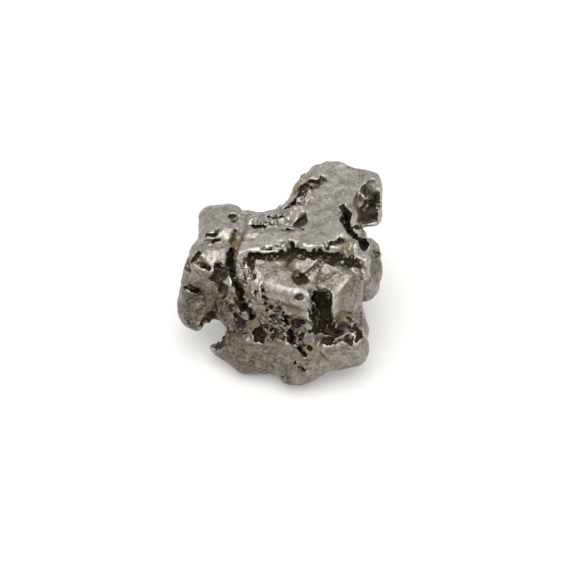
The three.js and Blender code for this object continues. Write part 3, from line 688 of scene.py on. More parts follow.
# %% [markdown]
# ## Natural irregularity
#
# Noise is a lattice of random numbers, read smoothly between its points. Each layer is turned another way,
# so that the lattice never shows. Chips are flat: space is split into cells round random seeds, and each
# cell's piece of the surface is tilted its own way, as broken metal is.

# %% Random numbers
LATTICE = 32  # numbers along each side of the cube of random numbers
SEED = 78
WAYS = 8  # ways to turn the cube

random = np.random.default_rng(SEED)
heights = random.uniform(-1, 1, LATTICE**3).astype(np.float32)
seeds = random.uniform(0, 1, (LATTICE**3, 3)).astype(np.float32)
tilts = random.normal(0, 1, (LATTICE**3, 3)).astype(np.float32)
tilts /= np.linalg.norm(tilts, axis=1, keepdims=True)
turns = [turned(*random.uniform(0, 360, 3)).astype(np.float32) for _ in range(WAYS)]
print(LATTICE**3, "random numbers in a cube, and", WAYS, "ways to turn it")


# %% Noise and chips
NOISE_SHIFT, CHIP_SHIFT = 7.3, 5.1  # cells that each layer is moved on by, so that no two layers match


def lattice_index(cell):
    """The number of a cell in the cube, which repeats in every direction."""
    c = cell & (LATTICE - 1)
    return (c[:, 0] * LATTICE + c[:, 1]) * LATTICE + c[:, 2]


def noise(p, size, layer=0):
    """Smooth random heights from -1 to 1, with lumps of about that size in mm."""
    q = p @ turns[layer % WAYS] / np.float32(size) + np.float32(NOISE_SHIFT * layer)
    cell = np.floor(q).astype(np.int32)
    f = q - cell
    f *= f * (3 - 2 * f)
    total = np.zeros(len(p), np.float32)
    for corner in np.ndindex(2, 2, 2):
        weight = np.prod(np.where(corner, f, 1 - f), axis=1)
        total += weight * heights[lattice_index(cell + np.array(corner, np.int32))]
    return total


def chips(p, size, layer=0):
    """Flat tilted chips of about that size in mm, as heights of about -0.5 to 0.5."""
    q = p @ turns[layer % WAYS] / np.float32(size) + np.float32(CHIP_SHIFT * layer)
    cell = np.floor(q).astype(np.int32)
    nearest = np.full(len(p), np.inf, np.float32)
    height = np.zeros(len(p), np.float32)
    for offset in np.ndindex(3, 3, 3):
        n = cell + np.array(offset, np.int32) - 1
        index = lattice_index(n)
        away = q - n - seeds[index]
        d = (away * away).sum(1)
        closer = d < nearest
        nearest[closer] = d[closer]
        height[closer] = (away[closer] * tilts[index[closer]]).sum(1)
    return height


line = np.linspace([0, 0, 0], [40, 0, 0], 400, dtype=np.float32)
for name, bumps in (("noise", noise(line, 1.0)), ("chips", chips(line, 1.0))):
    print(name, "along a line go from", np.round(bumps.min(), 2), "to", np.round(bumps.max(), 2))

# %% [markdown]
# ## Walls that wander
#
# The walls of a real hollow are ragged at every size. Moving a point a little before a shape is asked for
# its distance bends the shape, so one set of slow waves and a little noise make every wall ragged at once.
#
# Coarse chips are waves with sharp troughs, which leaves flat facets with creases between them.

# %% Wander and hackle
FADE = 0.2  # mm over which a region's edge fades
CLEAR = 1  # mm, the distance that is taken where no shape is near


def wander(p):
    """How far the walls of a hollow move along x, y and z, in slow waves."""
    return np.stack([
        wave(p, (0.05, 0, 9, 4, 0), (0.03, 0, 5, 17, 0)),
        wave(p, (0.05, 5, 0, 8, 0), (0.03, 19, 0, -7, 0)),
        wave(p, (0.05, 9, -4, 0, 0), (0.03, 6, 16, 0, 0)),
    ], axis=-1)


def hackle(p):
    """Coarse chips, as heights about 0."""
    cuts = p @ np.array([[5.5, 2.3, 1.1], [2.1, -5.1, 2.9], [1.5, 2.7, -5.3]], np.float32)
    return (np.abs(np.sin(cuts + np.array([0, 1, 2], np.float32))) - 2 / math.pi).mean(1)


def away_from(shapes, p):
    """How far outside the nearest of some shapes a point is, in mm."""
    away = np.full(len(p), CLEAR, np.float32)
    for shape in shapes:
        close = within(p, shape, FADE)
        away[close] = np.minimum(away[close], shape.distance(p[close]))
    return away


print("a wall wanders by up to", np.round(np.abs(wander(line)).max(), 2), "mm")

# %% [markdown]
# ## Torn columns
#
# The cliff and the broken ground were torn rather than cut, and the metal was drawn out into small columns.
# High on the display side they run straight up. Lower down they lean over. Noise that is squeezed one way
# and stretched the other gives them. On the horn they would stand out against the light as spikes, so they
# fade.

# %% Columns
COLUMN_HEIGHT, COLUMN_LENGTH = 0.13, 0.5  # mm
UPRIGHT_WIDTH, SLANTING_WIDTH = 0.11, 0.12  # mm
SLANT = -55  # degrees that the lower columns are turned by
UPRIGHT_FROM, UPRIGHT_FADE = 0.6, 0.4  # mm up the display side where they turn upright, and over how far
HORN_FROM, HORN_CALM = 2.5, 0.6  # mm up where they start to fade, and the share that is lost 1 mm above it


def ribs(p, spin, width):
    """Columns that run up the display side, or across it once spun, as heights from -1 to 1."""
    axes = turned(z=spin) @ DISPLAY
    return noise(p @ axes.T / np.array([width, COLUMN_LENGTH, width], np.float32), 1.0)


def torn_columns(p, rough):
    """The height that columns add to rough ground, in mm."""
    up = p @ DISPLAY[1]
    upper = np.clip(up - UPRIGHT_FROM, 0, UPRIGHT_FADE) / UPRIGHT_FADE
    calm = 1 - HORN_CALM * np.clip(up - HORN_FROM, 0, 1)
    upright, slanting = ribs(p, 0, UPRIGHT_WIDTH), ribs(p, SLANT, SLANTING_WIDTH)
    return COLUMN_HEIGHT * calm * rough * (upper * upright + (1 - upper) * slanting)


print("columns stand", np.round(torn_columns(line, 1).max(), 2), "mm high at most")

# %% [markdown]
# ## Cutting the hollows
#
# Each hollow is cut from what is left of the metal, with a rim that is nearly sharp, or rounder where
# pebbles reached it. On the way the cut notes how far each point is from the nearest broken wall, because
# the metal is rough there.

# %% Cuts and crumbs
RIM, WORN_RIM = 0.03, 0.08  # rounding of a hollow's rim, in mm
CRUMB_BLEND = 0.06  # mm of fillet round a crumb
CUT_MARGIN = 0.3  # mm round a shape in which it is worked out
WALL_FINE = ((0.05, 0.35), (0.03, 0.15))  # height and size in mm of the noise on a wall


def add_fine_drift(drift, p):
    """Adds noise to the way a wall wanders, with a layer of its own for each axis."""
    for height, size in WALL_FINE:
        drift += height * np.stack([noise(p, size, layer) for layer in (1, 2, 3)], axis=-1)


def cut_hollows(near, p, drift):
    """Cuts the hollows out of near, and gives the distance outside the nearest broken one."""
    ragged = p + drift
    wall = np.full(len(p), CLEAR, np.float32)
    for shape in hollows:
        close = within(ragged, shape, CUT_MARGIN)
        cut = shape.distance(p[close] + drift[close] * shape.sway)
        if shape not in worn_hollows:
            wall[close] = np.minimum(wall[close], cut)
        near[close] = -melt(-near[close], cut, WORN_RIM if shape in worn_hollows else RIM)
    return wall


def put_back_crumbs(near, ragged):
    """Melts the crumbs into near."""
    for shape in crumbs:
        close = within(ragged, shape, CUT_MARGIN)
        near[close] = melt(near[close], shape.distance(ragged[close]), CRUMB_BLEND)


print("a broken rim is rounded by", RIM, "mm and a worn one by", WORN_RIM, "mm")

# %% [markdown]
# ## The finest shape
#
# Rough ground gets chips of two sizes. Worn ground gets the shallow dents that pebbles leave, in three
# sizes, and fewer of them where the metal broke flat. A chip on the real nugget can be a hundredth of a
# millimetre, which is too fine to show, so these are drawn at 0.28 and 0.15 mm.

# %% Chips and dents
FINE_CHIPS = ((0.09, 0.28, 4), (0.11, 0.15, 5))  # height and size in mm, and layer of noise
DENTS = ((0.03, 0.8, 0), (0.022, 0.3, 6), (0.015, 0.13, 7))
ROUGH_CALM, FLAT_CALM = 0.5, 0.7  # share of the dents that is lost on rough ground and on flat faces
LEAST_ROUGH = 0.02  # ground that is less rough than this gets no chips


def chip_and_dent(near, p, rough):
    """Adds fine chips to near on rough ground, and dents everywhere."""
    broken = np.nonzero((rough > LEAST_ROUGH) & (np.abs(near) < CUT_MARGIN))[0]
    near[broken] += rough[broken] * sum(height * chips(p[broken], *layer) for height, *layer in FINE_CHIPS)
    dents = sum(height * noise(p, *layer) for height, *layer in DENTS)
    flat = np.clip(-away_from(flat_faces, p) / FADE, 0, 1)
    near += dents * (1 - ROUGH_CALM * rough) * (1 - FLAT_CALM * flat)


print(len(FINE_CHIPS), "sizes of chips and", len(DENTS), "of dents")

# %% [markdown]
# ## The whole field
#
# The order matters. First come the lumps, with the chipped ground and its columns. Then the hollows are
# cut, and the crumbs are put back. Last come the finest chips and dents, and the flat cut that the nugget
# rests on.
#
# Metal is rough in a patch, and on any wall that lies deeper than the skin that the lumps had before the
# cuts.

# %% The nugget's field
HACKLE = 0.3  # height scale of the coarse chips
WORN_HACKLE = 0.05  # share of them that is left on worn metal
WALL_FROM, WALL_FADE = 0.03, 0.12  # mm from a wall where its roughness starts to fade, and over how far
DEEP_FROM, DEEP_FADE = 0.02, 0.1  # mm below the uncut skin where walls start to be rough, and over how far


def nugget_field(p, detail=True):
    """Distance outside the nugget, and how rough the metal is there, from 0 worn to 1 broken."""
    rough = np.clip(-away_from(patches, p) / FADE, 0, 1)
    uncut = metal(p)
    near = uncut + HACKLE * hackle(p) * np.maximum(rough, WORN_HACKLE)
    drift = wander(p)
    if detail:
        near += torn_columns(p, rough)
        add_fine_drift(drift, p)
    wall = cut_hollows(near, p, drift)
    put_back_crumbs(near, p + drift)
    by_wall = np.clip(1 - (wall - WALL_FROM) / WALL_FADE, 0, 1)
    below_skin = np.clip((-uncut - DEEP_FROM) / DEEP_FADE, 0, 1)
    rough = np.maximum(rough, by_wall * below_skin)
    if detail:
        chip_and_dent(near, p, rough)
    return np.maximum(near, -p[:, 2]), rough


print("at its middle the nugget is", -nugget_field(np.array([[0, 0, MIDDLE]], np.float32))[0][0], "mm deep")

# %% [markdown]
# ## Reading the surface
#
# The field is read on a grid. A coarse pass finds the cells near the surface, and only those are read
# finely, which halves the work. Blender's own voxel remesher could read a surface too, but it needs a
# closed mesh to start from, and there is none yet.

# %% Grids
STEP = 0.045  # mm between grid points
COARSE = 4  # fine steps in a coarse one
BAND = 0.3  # mm either side of the surface that is read finely
ROOM = 4.5  # fine steps that the grid starts outside the solid's box
BATCHES = 12  # the fine points are read in so many parts, to save memory

grid_low = nugget_low - ROOM * STEP
coarse_counts = np.ceil((nugget_high - nugget_low) / (STEP * COARSE)).astype(int) + 4
counts = (coarse_counts - 1) * COARSE + 1
print("the grid has", " x ".join(str(n) for n in counts), "points")


# %% Coarse pass
def corners(grid):
    """The eight corners of every cell, as eight arrays of the cells' shape."""
    ends = [n - 1 for n in grid.shape]
    return [grid[tuple(slice(o, e + o) for o, e in zip(offset, ends))] for offset in np.ndindex(2, 2, 2)]


def refined(grid):
    """A coarse grid with every number repeated for the fine points that it stands for."""
    return grid.repeat(COARSE, 0).repeat(COARSE, 1).repeat(COARSE, 2)


def grid_place(index, step):
    """Where grid points lie, in mm."""
    return (grid_low + index * step).astype(np.float32)


coarse_index = np.argwhere(np.ones(coarse_counts, bool))
coarse = nugget_field(grid_place(coarse_index, STEP * COARSE), detail=False)[0].reshape(coarse_counts)
close_cells = refined(np.min(np.abs(corners(coarse)), axis=0) < BAND)
print(len(coarse_index), "grid points read coarsely")

# %% Fine pass
band = np.zeros(counts, bool)
for part in corners(band):
    part |= close_cells
values = refined(coarse)[: counts[0], : counts[1], : counts[2]].copy()
band_index = np.argwhere(band)
values[band] = np.concatenate(
    [nugget_field(grid_place(part, STEP))[0] for part in np.array_split(band_index, BATCHES)])
print(len(band_index), "grid points read finely of", values.size)

# %% [markdown]
# ## Filling pinches
#
# Where two bits of metal meet only along an edge of the grid, the surface would touch itself there, and
# such a mesh can't be printed or filled. Real metal doesn't hang on a line either. So one of the empty
# corners is filled until no such edge is left.

# %% Fill pinches
MOST_ROUNDS = 9  # filling one pinch can make another, so it is done again, at most this often
THIN = 0.05  # share of a step that a filled point lies inside the metal


def fill_pinches(values):
    """Fills grid points until no two bits of metal meet only along an edge. Gives how many were filled."""
    filled = 0
    for _ in range(MOST_ROUNDS):
        solid = values < 0
        fill = np.zeros_like(solid)
        for a, b in ((0, 1), (1, 2), (2, 0)):
            s, f = np.moveaxis(solid, (a, b), (0, 1)), np.moveaxis(fill, (a, b), (0, 1))
            low, right, up, far = s[:-1, :-1], s[1:, :-1], s[:-1, 1:], s[1:, 1:]
            f[1:, :-1] |= low & far & ~right & ~up
            f[:-1, :-1] |= right & up & ~low & ~far
        if not fill.any():
            break
        values[fill] = -THIN * STEP
        filled += fill.sum()
    return filled


print(fill_pinches(values), "pinches filled")

# %% [markdown]
# ## The surface as points and faces
#
# Each cell that the surface passes through gets one point, at the middle of the places where the cell's
# edges are cut. Each grid edge that is cut gets one four-sided face, between the four cells round it. That
# gives more even faces than the usual marching cubes do, with few slivers.

# %% Surface
def surface(values):
    """Points and four-sided faces where the grid's values change sign."""
    strides = np.array([values.shape[1] * values.shape[2], values.shape[2], 1])
    flat = values.ravel()
    crossed = []
    for axis in range(3):
        first = np.moveaxis(values, axis, 0)
        index = np.argwhere((first[1:] < 0) != (first[:-1] < 0))
        index[:, : axis + 1] = np.roll(index[:, : axis + 1], -1, axis=1)
        n = index @ strides
        share = flat[n] / (flat[n] - flat[n + strides[axis]])
        place = index.astype(np.float64)
        place[:, axis] += share
        b, c = strides[(axis + 1) % 3], strides[(axis + 2) % 3]
        ring = np.stack([n - b - c, n - c, n, n - b], axis=1)
        ring[flat[n] >= 0] = ring[flat[n] >= 0][:, ::-1]
        crossed.append((ring, place))
    rings = np.concatenate([ring for ring, _ in crossed])
    places = np.repeat(np.concatenate([place for _, place in crossed]), 4, axis=0)
    cell_ids, corner_of = np.unique(rings, return_inverse=True)
    corner_of = corner_of.ravel()
    cuts = np.bincount(corner_of)
    points = np.stack([np.bincount(corner_of, places[:, k]) / cuts for k in range(3)], axis=1)
    return points, corner_of.reshape(-1, 4)


def biggest_island(points, faces):
    """Keeps the one body: bubbles inside it and specks beside it are dropped."""
    label = np.arange(len(points))
    while True:
        lowest = label[faces].min(1)
        new = label.copy()
        for k in range(4):
            np.minimum.at(new, faces[:, k], lowest)
        new = new[new]
        if (new == label).all():
            break
        label = new
    keep = label == np.bincount(label).argmax()
    number = np.cumsum(keep) - 1
    return points[keep], number[faces[keep[faces[:, 0]]]]


points, faces = biggest_island(*surface(values))
points = grid_low + points * STEP
print(len(points), "points and", len(faces), "faces")

# %% [markdown]
# ## Which metal is worn and which is sheltered
#
# The finish needs to know where a pebble could reach. Three measures say so at each point of the mesh.
# Rough comes from the field. Sheltered looks out in sixty directions and counts those where metal stands in
# the way. Crease compares a point with the metal close round it: an edge has little, and the foot of a
# crack has much. Blender can bake such maps as pictures, but numbers on the mesh need no unwrapping and no
# picture.

# %% Crease
CREASE_RADIUS = 0.1  # mm of metal round a point that is looked at


def blurred(grid, radius):
    """Three box blurs along each axis, which come close to a soft round one."""
    for axis in range(3):
        line = np.moveaxis(grid, axis, 0)
        for _ in range(3):
            padded = np.pad(line, [(radius + 1, radius), (0, 0), (0, 0)])
            total = np.cumsum(padded, axis=0, dtype=np.float32)
            line = (total[2 * radius + 1 :] - total[: -2 * radius - 1]) / (2 * radius + 1)
        grid = np.moveaxis(line, 0, axis)
    return grid


def read_grid(grid, p):
    """A grid's value at any place, read smoothly between its points."""
    q = (p - grid_low) / STEP
    cell = np.floor(q).astype(int)
    f = q - cell
    total = np.zeros(len(p))
    for corner in np.ndindex(2, 2, 2):
        total += np.prod(np.where(corner, f, 1 - f), axis=1) * grid[tuple((cell + corner).T)]
    return total


filled = (values < 0).astype(np.float32)
crease = 2 * read_grid(blurred(filled, round(CREASE_RADIUS / STEP)), points) - 1
print("crease goes from", np.round(crease.min(), 2), "at the sharpest edge to", np.round(crease.max(), 2))

# %% Shelter
DIRECTIONS = 60
SHELTER_FROM, SHELTER_REACH, SHELTER_STRIDE = 0.13, 1.4, 0.14  # mm along each line of sight


def shelter(points):
    """The share of all directions in which metal stands within reach of a point."""
    solid = values < 0
    met = np.zeros(len(points))
    for k in range(DIRECTIONS):
        rise = 1 - (2 * k + 1) / DIRECTIONS
        spin = k * math.pi * (3 - math.sqrt(5))
        flat = math.sqrt(1 - rise * rise)
        direction = np.array([flat * math.cos(spin), flat * math.sin(spin), rise])
        hit = np.zeros(len(points), bool)
        for away in np.arange(SHELTER_FROM, SHELTER_REACH, SHELTER_STRIDE):
            cell = ((points + direction * away - grid_low) / STEP + 0.5).astype(int)
            inside = ((cell >= 0) & (cell < solid.shape)).all(1)
            hit |= inside & solid[tuple(np.where(inside[:, None], cell, 0).T)]
        met += hit
    return met / DIRECTIONS


sheltered = shelter(points)
print("at most", round(100 * sheltered.max()), "% of the directions are shut")

# %% [markdown]
# ## Six measures in all
#
# Dust, the rubbed highlights and the film with its painted shade come from the places marked above, with
# soft edges. The rubbed highlights never lie on broken metal. All six are printed as the values that 1, 25,
# 50, 75 and 99 percent of the points stay under, which is a quick way to see where a colour ramp should
# start and end.

# %% Six measures
DUST_FADE, RUBBED_HIGHLIGHT_FADE, FILM_AND_SHADE_FADE = 0.2, 0.15, 0.4  # mm over which each one's edge fades

exact = points.astype(np.float32)
rough = nugget_field(exact)[1]
measures = {
    "crease": crease,
    "rough": rough,
    "sheltered": sheltered,
    "dusty": np.clip(0.5 - away_from(dust_beds, exact) / DUST_FADE, 0, 1),
    "rubbed_highlight": np.clip(-away_from(rubbed_highlight_places, exact) / RUBBED_HIGHLIGHT_FADE, 0, 1) * (1 - rough),
    "film_and_shade": np.clip(0.5 - away_from(film_and_shade_places, exact) / FILM_AND_SHADE_FADE, 0, 1),
}
for name, measure in measures.items():
    print(name, np.round(np.percentile(measure, [1, 25, 50, 75, 99]), 2))

# %% [markdown]
# ## The mesh
#
# The points become one mesh in metres. The measures ride on it as attributes, so that the finish stays with
# the metal. Decimating takes faces away where the skin is plain and leaves them where it is broken.

# %% Mesh
MOST_TRIANGLES = 190000


def mesh_from(name, points, faces):
    """A mesh from points in mm and faces that all have the same number of corners."""
    mesh = bpy.data.meshes.new(name)
    mesh.vertices.add(len(points))
    mesh.vertices.foreach_set("co", (points * MM).astype(np.float32).ravel())
    mesh.loops.add(faces.size)
    mesh.loops.foreach_set("vertex_index", faces.astype(np.int32).ravel())
    mesh.polygons.add(len(faces))
    mesh.polygons.foreach_set("loop_start", np.arange(0, faces.size, faces.shape[1], dtype=np.int32))
    mesh.update(calc_edges=True)
    mesh.validate()
    return mesh


mesh = mesh_from("platinum_nugget", points, faces)
for name, measure in measures.items():
    mesh.attributes.new(name, "FLOAT", "POINT").data.foreach_set("value", measure.astype(np.float32))
nugget = bpy.data.objects.new("platinum_nugget", mesh)
bpy.context.scene.collection.objects.link(nugget)
if 2 * len(faces) > MOST_TRIANGLES:
    fewer = nugget.modifiers.new("fewer faces", "DECIMATE")
    fewer.ratio = MOST_TRIANGLES / (2 * len(faces))
    fewer.use_collapse_triangulate = True
    evaluated = nugget.evaluated_get(bpy.context.evaluated_depsgraph_get())
    nugget.data = bpy.data.meshes.new_from_object(evaluated)
    nugget.modifiers.clear()
print(len(nugget.data.polygons), "faces,", len(nugget.data.vertices), "points")

# %% [markdown]
# ## Smooth and flat faces
#
# Worn metal is smooth, so light runs softly over it. Broken metal shows each of its facets, as a glint or
# as a dark chip. So a face is shaded flat where the metal is rough, and smooth everywhere else.

# %% Shading
FLAT_FROM = 0.6  # roughness from which faces are shaded flat

broken = np.zeros(len(nugget.data.vertices), np.float32)
nugget.data.attributes["rough"].data.foreach_get("value", broken)
corner = np.zeros(len(nugget.data.loops), np.int32)
nugget.data.loops.foreach_get("vertex_index", corner)
first = np.zeros(len(nugget.data.polygons), np.int32)
nugget.data.polygons.foreach_get("loop_start", first)
nugget.data.polygons.foreach_set("use_smooth", broken[corner[first]] < FLAT_FROM)
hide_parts("nugget")
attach(nugget, "root")
print(round(100 * np.mean(broken[corner[first]] >= FLAT_FROM)), "% of the faces are broken metal")

# %% [markdown]
# ## The finish: native platinum, worn by a river
#
# Native platinum is a grey-white metal, a little darker than the refined kind because it holds iron.
# Pebbles burnished the outer faces to a soft satin, where the eye sees broad calm highlights. The broken
# metal in the hollows keeps tiny bright facets among dark gaps, and brown mud fills the deepest of them.
#
# A picture painted by hand could colour it, but it would have to be unwrapped round every pit. Nodes that
# read the six measures colour each spot by what happened to it there, and add painted shade and painted
# highlights in a few places. Colours are written as the hex values that a colour picker shows, and one
# function turns them into the linear values that light adds up in.

# %% Colours and nodes
def linear(hex_colour):
    """An sRGB hex colour as the linear values that Blender works in."""
    parts = [int(hex_colour[i : i + 2], 16) / 255 for i in (1, 3, 5)]
    return [v / 12.92 if v <= 0.04045 else ((v + 0.055) / 1.055) ** 2.4 for v in parts] + [1]


finish = bpy.data.materials.new("native_platinum")
finish.use_nodes = True
finish.node_tree.nodes.clear()


def node(kind, inputs=None, output=0, **settings):
    """Adds one node to the finish and gives an output. Each input is a value, or an output to link."""
    made = finish.node_tree.nodes.new("ShaderNode" + kind)
    for key, value in settings.items():
        setattr(made, key, value)
    for key, value in (inputs or {}).items():
        if isinstance(value, bpy.types.NodeSocket):
            finish.node_tree.links.new(value, made.inputs[key])
        else:
            made.inputs[key].default_value = value
    return made.outputs[output] if made.outputs else None


SOFT = {"interpolation_type": "SMOOTHSTEP"}  # a ramp that starts and ends gently
told = {name: node("Attribute", output="Fac", attribute_name=name) for name in measures}
print("the finish reads", ", ".join(told))

# %% [markdown]
# ## Film, blotches and grain
#
# Three sizes of noise break the finish up. Film is where damp stood, about 1.6 mm across. Blotches of 0.35
# mm are metal that took the wear unevenly. Grain is the fine pitting that sand leaves, and it makes the
# satin. On the real nugget it is about 0.01 mm, which is too fine to show, so it is drawn at 0.1 mm.

# %% Noise of three sizes
NOISES = ((1.6, 4, 0.6), (0.35, 4, 0.7), (0.1, 3, 0.75))  # size in mm, detail and roughness of each

place = node("TexCoord", output="Object")
film, blotches, grain = (
    node("TexNoise", {
        "Vector": place, "Scale": 1 / (size * MM), "Detail": detail, "Roughness": breaking_up})
    for size, detail, breaking_up in NOISES)
print("noise of", ", ".join(str(size) for size, *_ in NOISES), "mm")

# %% [markdown]
# ## Where dirt and painted shade lie
#
# Mud lies where metal stands all round, more so in the foot of a crack, and in blotches. Among broken metal
# the creases are darkened as well, as painted shade between the chips. So those four are added up to one
# depth, which is partly dirt and partly painted shade. Ramps then cut the depth into mud, grime with
# painted shade, and the places where dust can settle. Dust also lies in its own beds, in a grainy crust.

# %% Depth, mud, painted shade and dust
# the share for broken metal is painted shade: it darkens the creases between chips
CREASE_SHARE, UNEVEN_SHARE, BROKEN_CREASE_SHADE = 0.12, 0.25, 0.25  # of each that is added to the shelter
MUD, GRIME_AND_SHADE, SETTLED = (0.79, 0.93), (0.65, 0.9), (0.6, 0.75)  # depths where each starts and is full
CRUST, DAMP = (0.4, 0.55), (0.5, 0.6)  # noise where each starts and is full

uneven = node("Math", {0: blotches, 1: 0.5}, operation="SUBTRACT")
crease_shade_in_broken = node("Math", {0: told["crease"], 1: told["rough"]}, operation="MULTIPLY")
# depth adds up dirt from shelter, creases and blotches, and painted shade in the creases of broken metal
depth = told["sheltered"]
for what, share in (
        (told["crease"], CREASE_SHARE), (uneven, UNEVEN_SHARE), (crease_shade_in_broken, BROKEN_CREASE_SHADE)):
    depth = node("Math", {0: what, 1: share, 2: depth}, operation="MULTIPLY_ADD")
mud, grime_and_shade, settled = (
    node("MapRange", {"Value": depth, "From Min": least, "From Max": most}, **SOFT)
    for least, most in (MUD, GRIME_AND_SHADE, SETTLED))

half_grain = node("Math", {0: grain, 1: 0.5}, operation="MULTIPLY")
crust = node("Math", {0: blotches, 1: 0.5, 2: half_grain}, operation="MULTIPLY_ADD")
crust, damp = (
    node("MapRange", {"Value": what, "From Min": least, "From Max": most}, **SOFT)
    for what, (least, most) in ((crust, CRUST), (film, DAMP)))
in_beds = node("Math", {0: told["dusty"], 1: crust}, operation="MULTIPLY")
in_hollows = node("Math", {0: settled, 1: damp}, operation="MULTIPLY")
dust = node("Math", {0: in_beds, 1: in_hollows}, operation="MAXIMUM")
print("mud fills depths from", MUD[0], "up, of a measure from 0 to about 1")

# %% [markdown]
# ## Worn, filmed and burnished metal, with painted shade and painted highlight
#
# Worn metal goes from pale to dull grey with the grain. Low on the nugget, on its left and on some quiet
# faces the grey is darkened and warmed: partly a brown film, because hands and pebbles rub the high places
# most, and partly painted shade. Sharp edges are burnished, so they are paler and a little glossier. The
# rubbed places are glossier too, and painted paler as a painted highlight.

# %% Wear, painted shade and painted highlight
# the film darkens the grey downward and to the left: partly a brown film, partly painted shade
FILM_SHADE_TOP, FILM_SHADE_FULL = 4.9 * MM, 1.9 * MM  # heights where the film starts and where it is full
FILM_SHADE_LEFT, FILM_SHADE_RIGHT = -3 * MM, 2 * MM  # places where it is strongest and weakest
MOST_FILM_SHADE, LEAST_FILM_SHADE = 1.2, 0.4  # its strength at those two places
QUIET_FILM_SHADE = 0.7  # its strength on the places that were marked for it
BLOTCH_SHARE, GRAIN_SHARE = 0.5, 0.6  # of each in what dulls the metal
DULL_FROM, DULL_FULL = 0.4, 0.7  # of that sum, where metal starts to be dull and where it is
SHARP_FROM, SHARP_FULL = -0.2, -0.6  # crease where an edge starts to be burnished and where it is
# the rubbed places get a painted highlight: they are painted paler as well as made glossier
EDGE_BURNISH, RUBBED_HIGHLIGHT = 0.6, 0.8  # most burnish on an edge and on a rubbed place

along, height = (node("SeparateXYZ", {0: place}, output=axis) for axis in ("X", "Z"))
# darker low down and towards the left, as film and painted shade
downward = node("MapRange", {"Value": height, "From Min": FILM_SHADE_TOP, "From Max": FILM_SHADE_FULL}, **SOFT)
leftward = node("MapRange", {
    "Value": along, "From Min": FILM_SHADE_LEFT, "From Max": FILM_SHADE_RIGHT,
    "To Min": MOST_FILM_SHADE, "To Max": LEAST_FILM_SHADE}, **SOFT)
low_down = node("Math", {0: downward, 1: leftward}, operation="MULTIPLY")
# the marked quiet faces are darkened too, as painted shade with some film
quiet = node("Math", {0: told["film_and_shade"], 1: QUIET_FILM_SHADE}, operation="MULTIPLY")
filmed_and_shaded = node("Math", {0: low_down, 1: quiet}, operation="MAXIMUM")

most_grain = node("Math", {0: grain, 1: GRAIN_SHARE}, operation="MULTIPLY")
dulled = node("Math", {0: blotches, 1: BLOTCH_SHARE, 2: most_grain}, operation="MULTIPLY_ADD")
dulled = node("MapRange", {"Value": dulled, "From Min": DULL_FROM, "From Max": DULL_FULL}, **SOFT)

sharp = node("MapRange", {
    "Value": told["crease"], "From Min": SHARP_FROM, "From Max": SHARP_FULL}, **SOFT)
unbroken = node("Math", {0: EDGE_BURNISH, 1: told["rough"]}, operation="SUBTRACT")
edges = node("Math", {0: sharp, 1: unbroken}, operation="MULTIPLY")
# painted highlight on the rubbed places, joined with the real burnish on sharp edges
rubbed_highlight_share = node("Math", {0: told["rubbed_highlight"], 1: RUBBED_HIGHLIGHT}, operation="MULTIPLY")
burnish_and_highlight = node("Math", {0: rubbed_highlight_share, 1: edges}, operation="MAXIMUM")
print("edges are burnished by their sharpness")

# %% [markdown]
# ## Colours, one over the other
#
# The colours are laid in the order in which the real layers came on the nugget: the metal, its film, the
# burnish on its edges, then grime, dust and mud. The film and the grime also carry painted shade, and the
# burnish carries a painted highlight on the rubbed places. A metal's colour is the colour of its
# reflections, so even the palest is well below white.

# %% Colours
# the second pair of greys is the film's, and it also paints shade
worn_colour, film_and_shade_colour = (
    node("Mix", {0: dulled, 6: linear(pale), 7: linear(dull)}, output=2, data_type="RGBA")
    for pale, dull in (("#b0aba4", "#7c766f"), ("#81786d", "#3a332b")))
colour = node("Mix", {0: filmed_and_shaded, 6: worn_colour, 7: film_and_shade_colour}, output=2, data_type="RGBA")
# the burnish layer also carries a painted highlight, and the grime layer also carries painted shade
layers = {"burnish_highlight": (burnish_and_highlight, "#bbb6af"), "grime_and_shade": (grime_and_shade, "#4c4237"),
          "dust": (dust, "#7d6e51"), "mud": (mud, "#3d2f24")}
for share, shade in layers.values():
    colour = node("Mix", {0: share, 6: colour, 7: linear(shade)}, output=2, data_type="RGBA")
print("over the metal lie", ", ".join(layers))

# %% [markdown]
# ## Gloss
#
# Metal is metallic and mud is not, and dust hides half of the metal under it. Burnished metal has a
# roughness of about 0.3, satin about 0.4, and mud 0.8. The grain is also a bump of 0.02 mm, which spreads
# the highlights as sand-pitted metal does. The metal keeps the shader's own IOR.

# %% Gloss and shader
DUST_HIDES = 0.5  # share of the metal under dust that is hidden
METAL_IN_MUD = 0.1  # metal that still shows in the thickest mud
SATIN_ROUGHNESS, MUD_ROUGHNESS = 0.34, 0.8
DULL_ROUGHNESS = 0.3  # share of the way from satin to mud that dull or grimy metal goes
BURNISH_GLOSS = 0.1  # roughness that full burnish takes away
PIT_DEPTH, PIT_STRENGTH = 0.02 * MM, 0.7

over_metal = node("Math", {0: dust, 1: DUST_HIDES}, operation="MULTIPLY")
over_metal = node("Math", {0: mud, 1: over_metal}, operation="MAXIMUM")
metallic = node("MapRange", {"Value": over_metal, "To Min": 1, "To Max": METAL_IN_MUD}, **SOFT)

matt = node("Math", {0: dulled, 1: grime_and_shade}, operation="ADD")
matt = node("Math", {0: matt, 1: DULL_ROUGHNESS}, operation="MULTIPLY")
matt = node("Math", {0: mud, 1: matt}, operation="MAXIMUM")
roughness = node("MapRange", {
    "Value": matt, "To Min": SATIN_ROUGHNESS, "To Max": MUD_ROUGHNESS}, **SOFT)
gloss = node("Math", {0: burnish_and_highlight, 1: BURNISH_GLOSS}, operation="MULTIPLY")
roughness = node("Math", {0: roughness, 1: gloss}, operation="SUBTRACT")

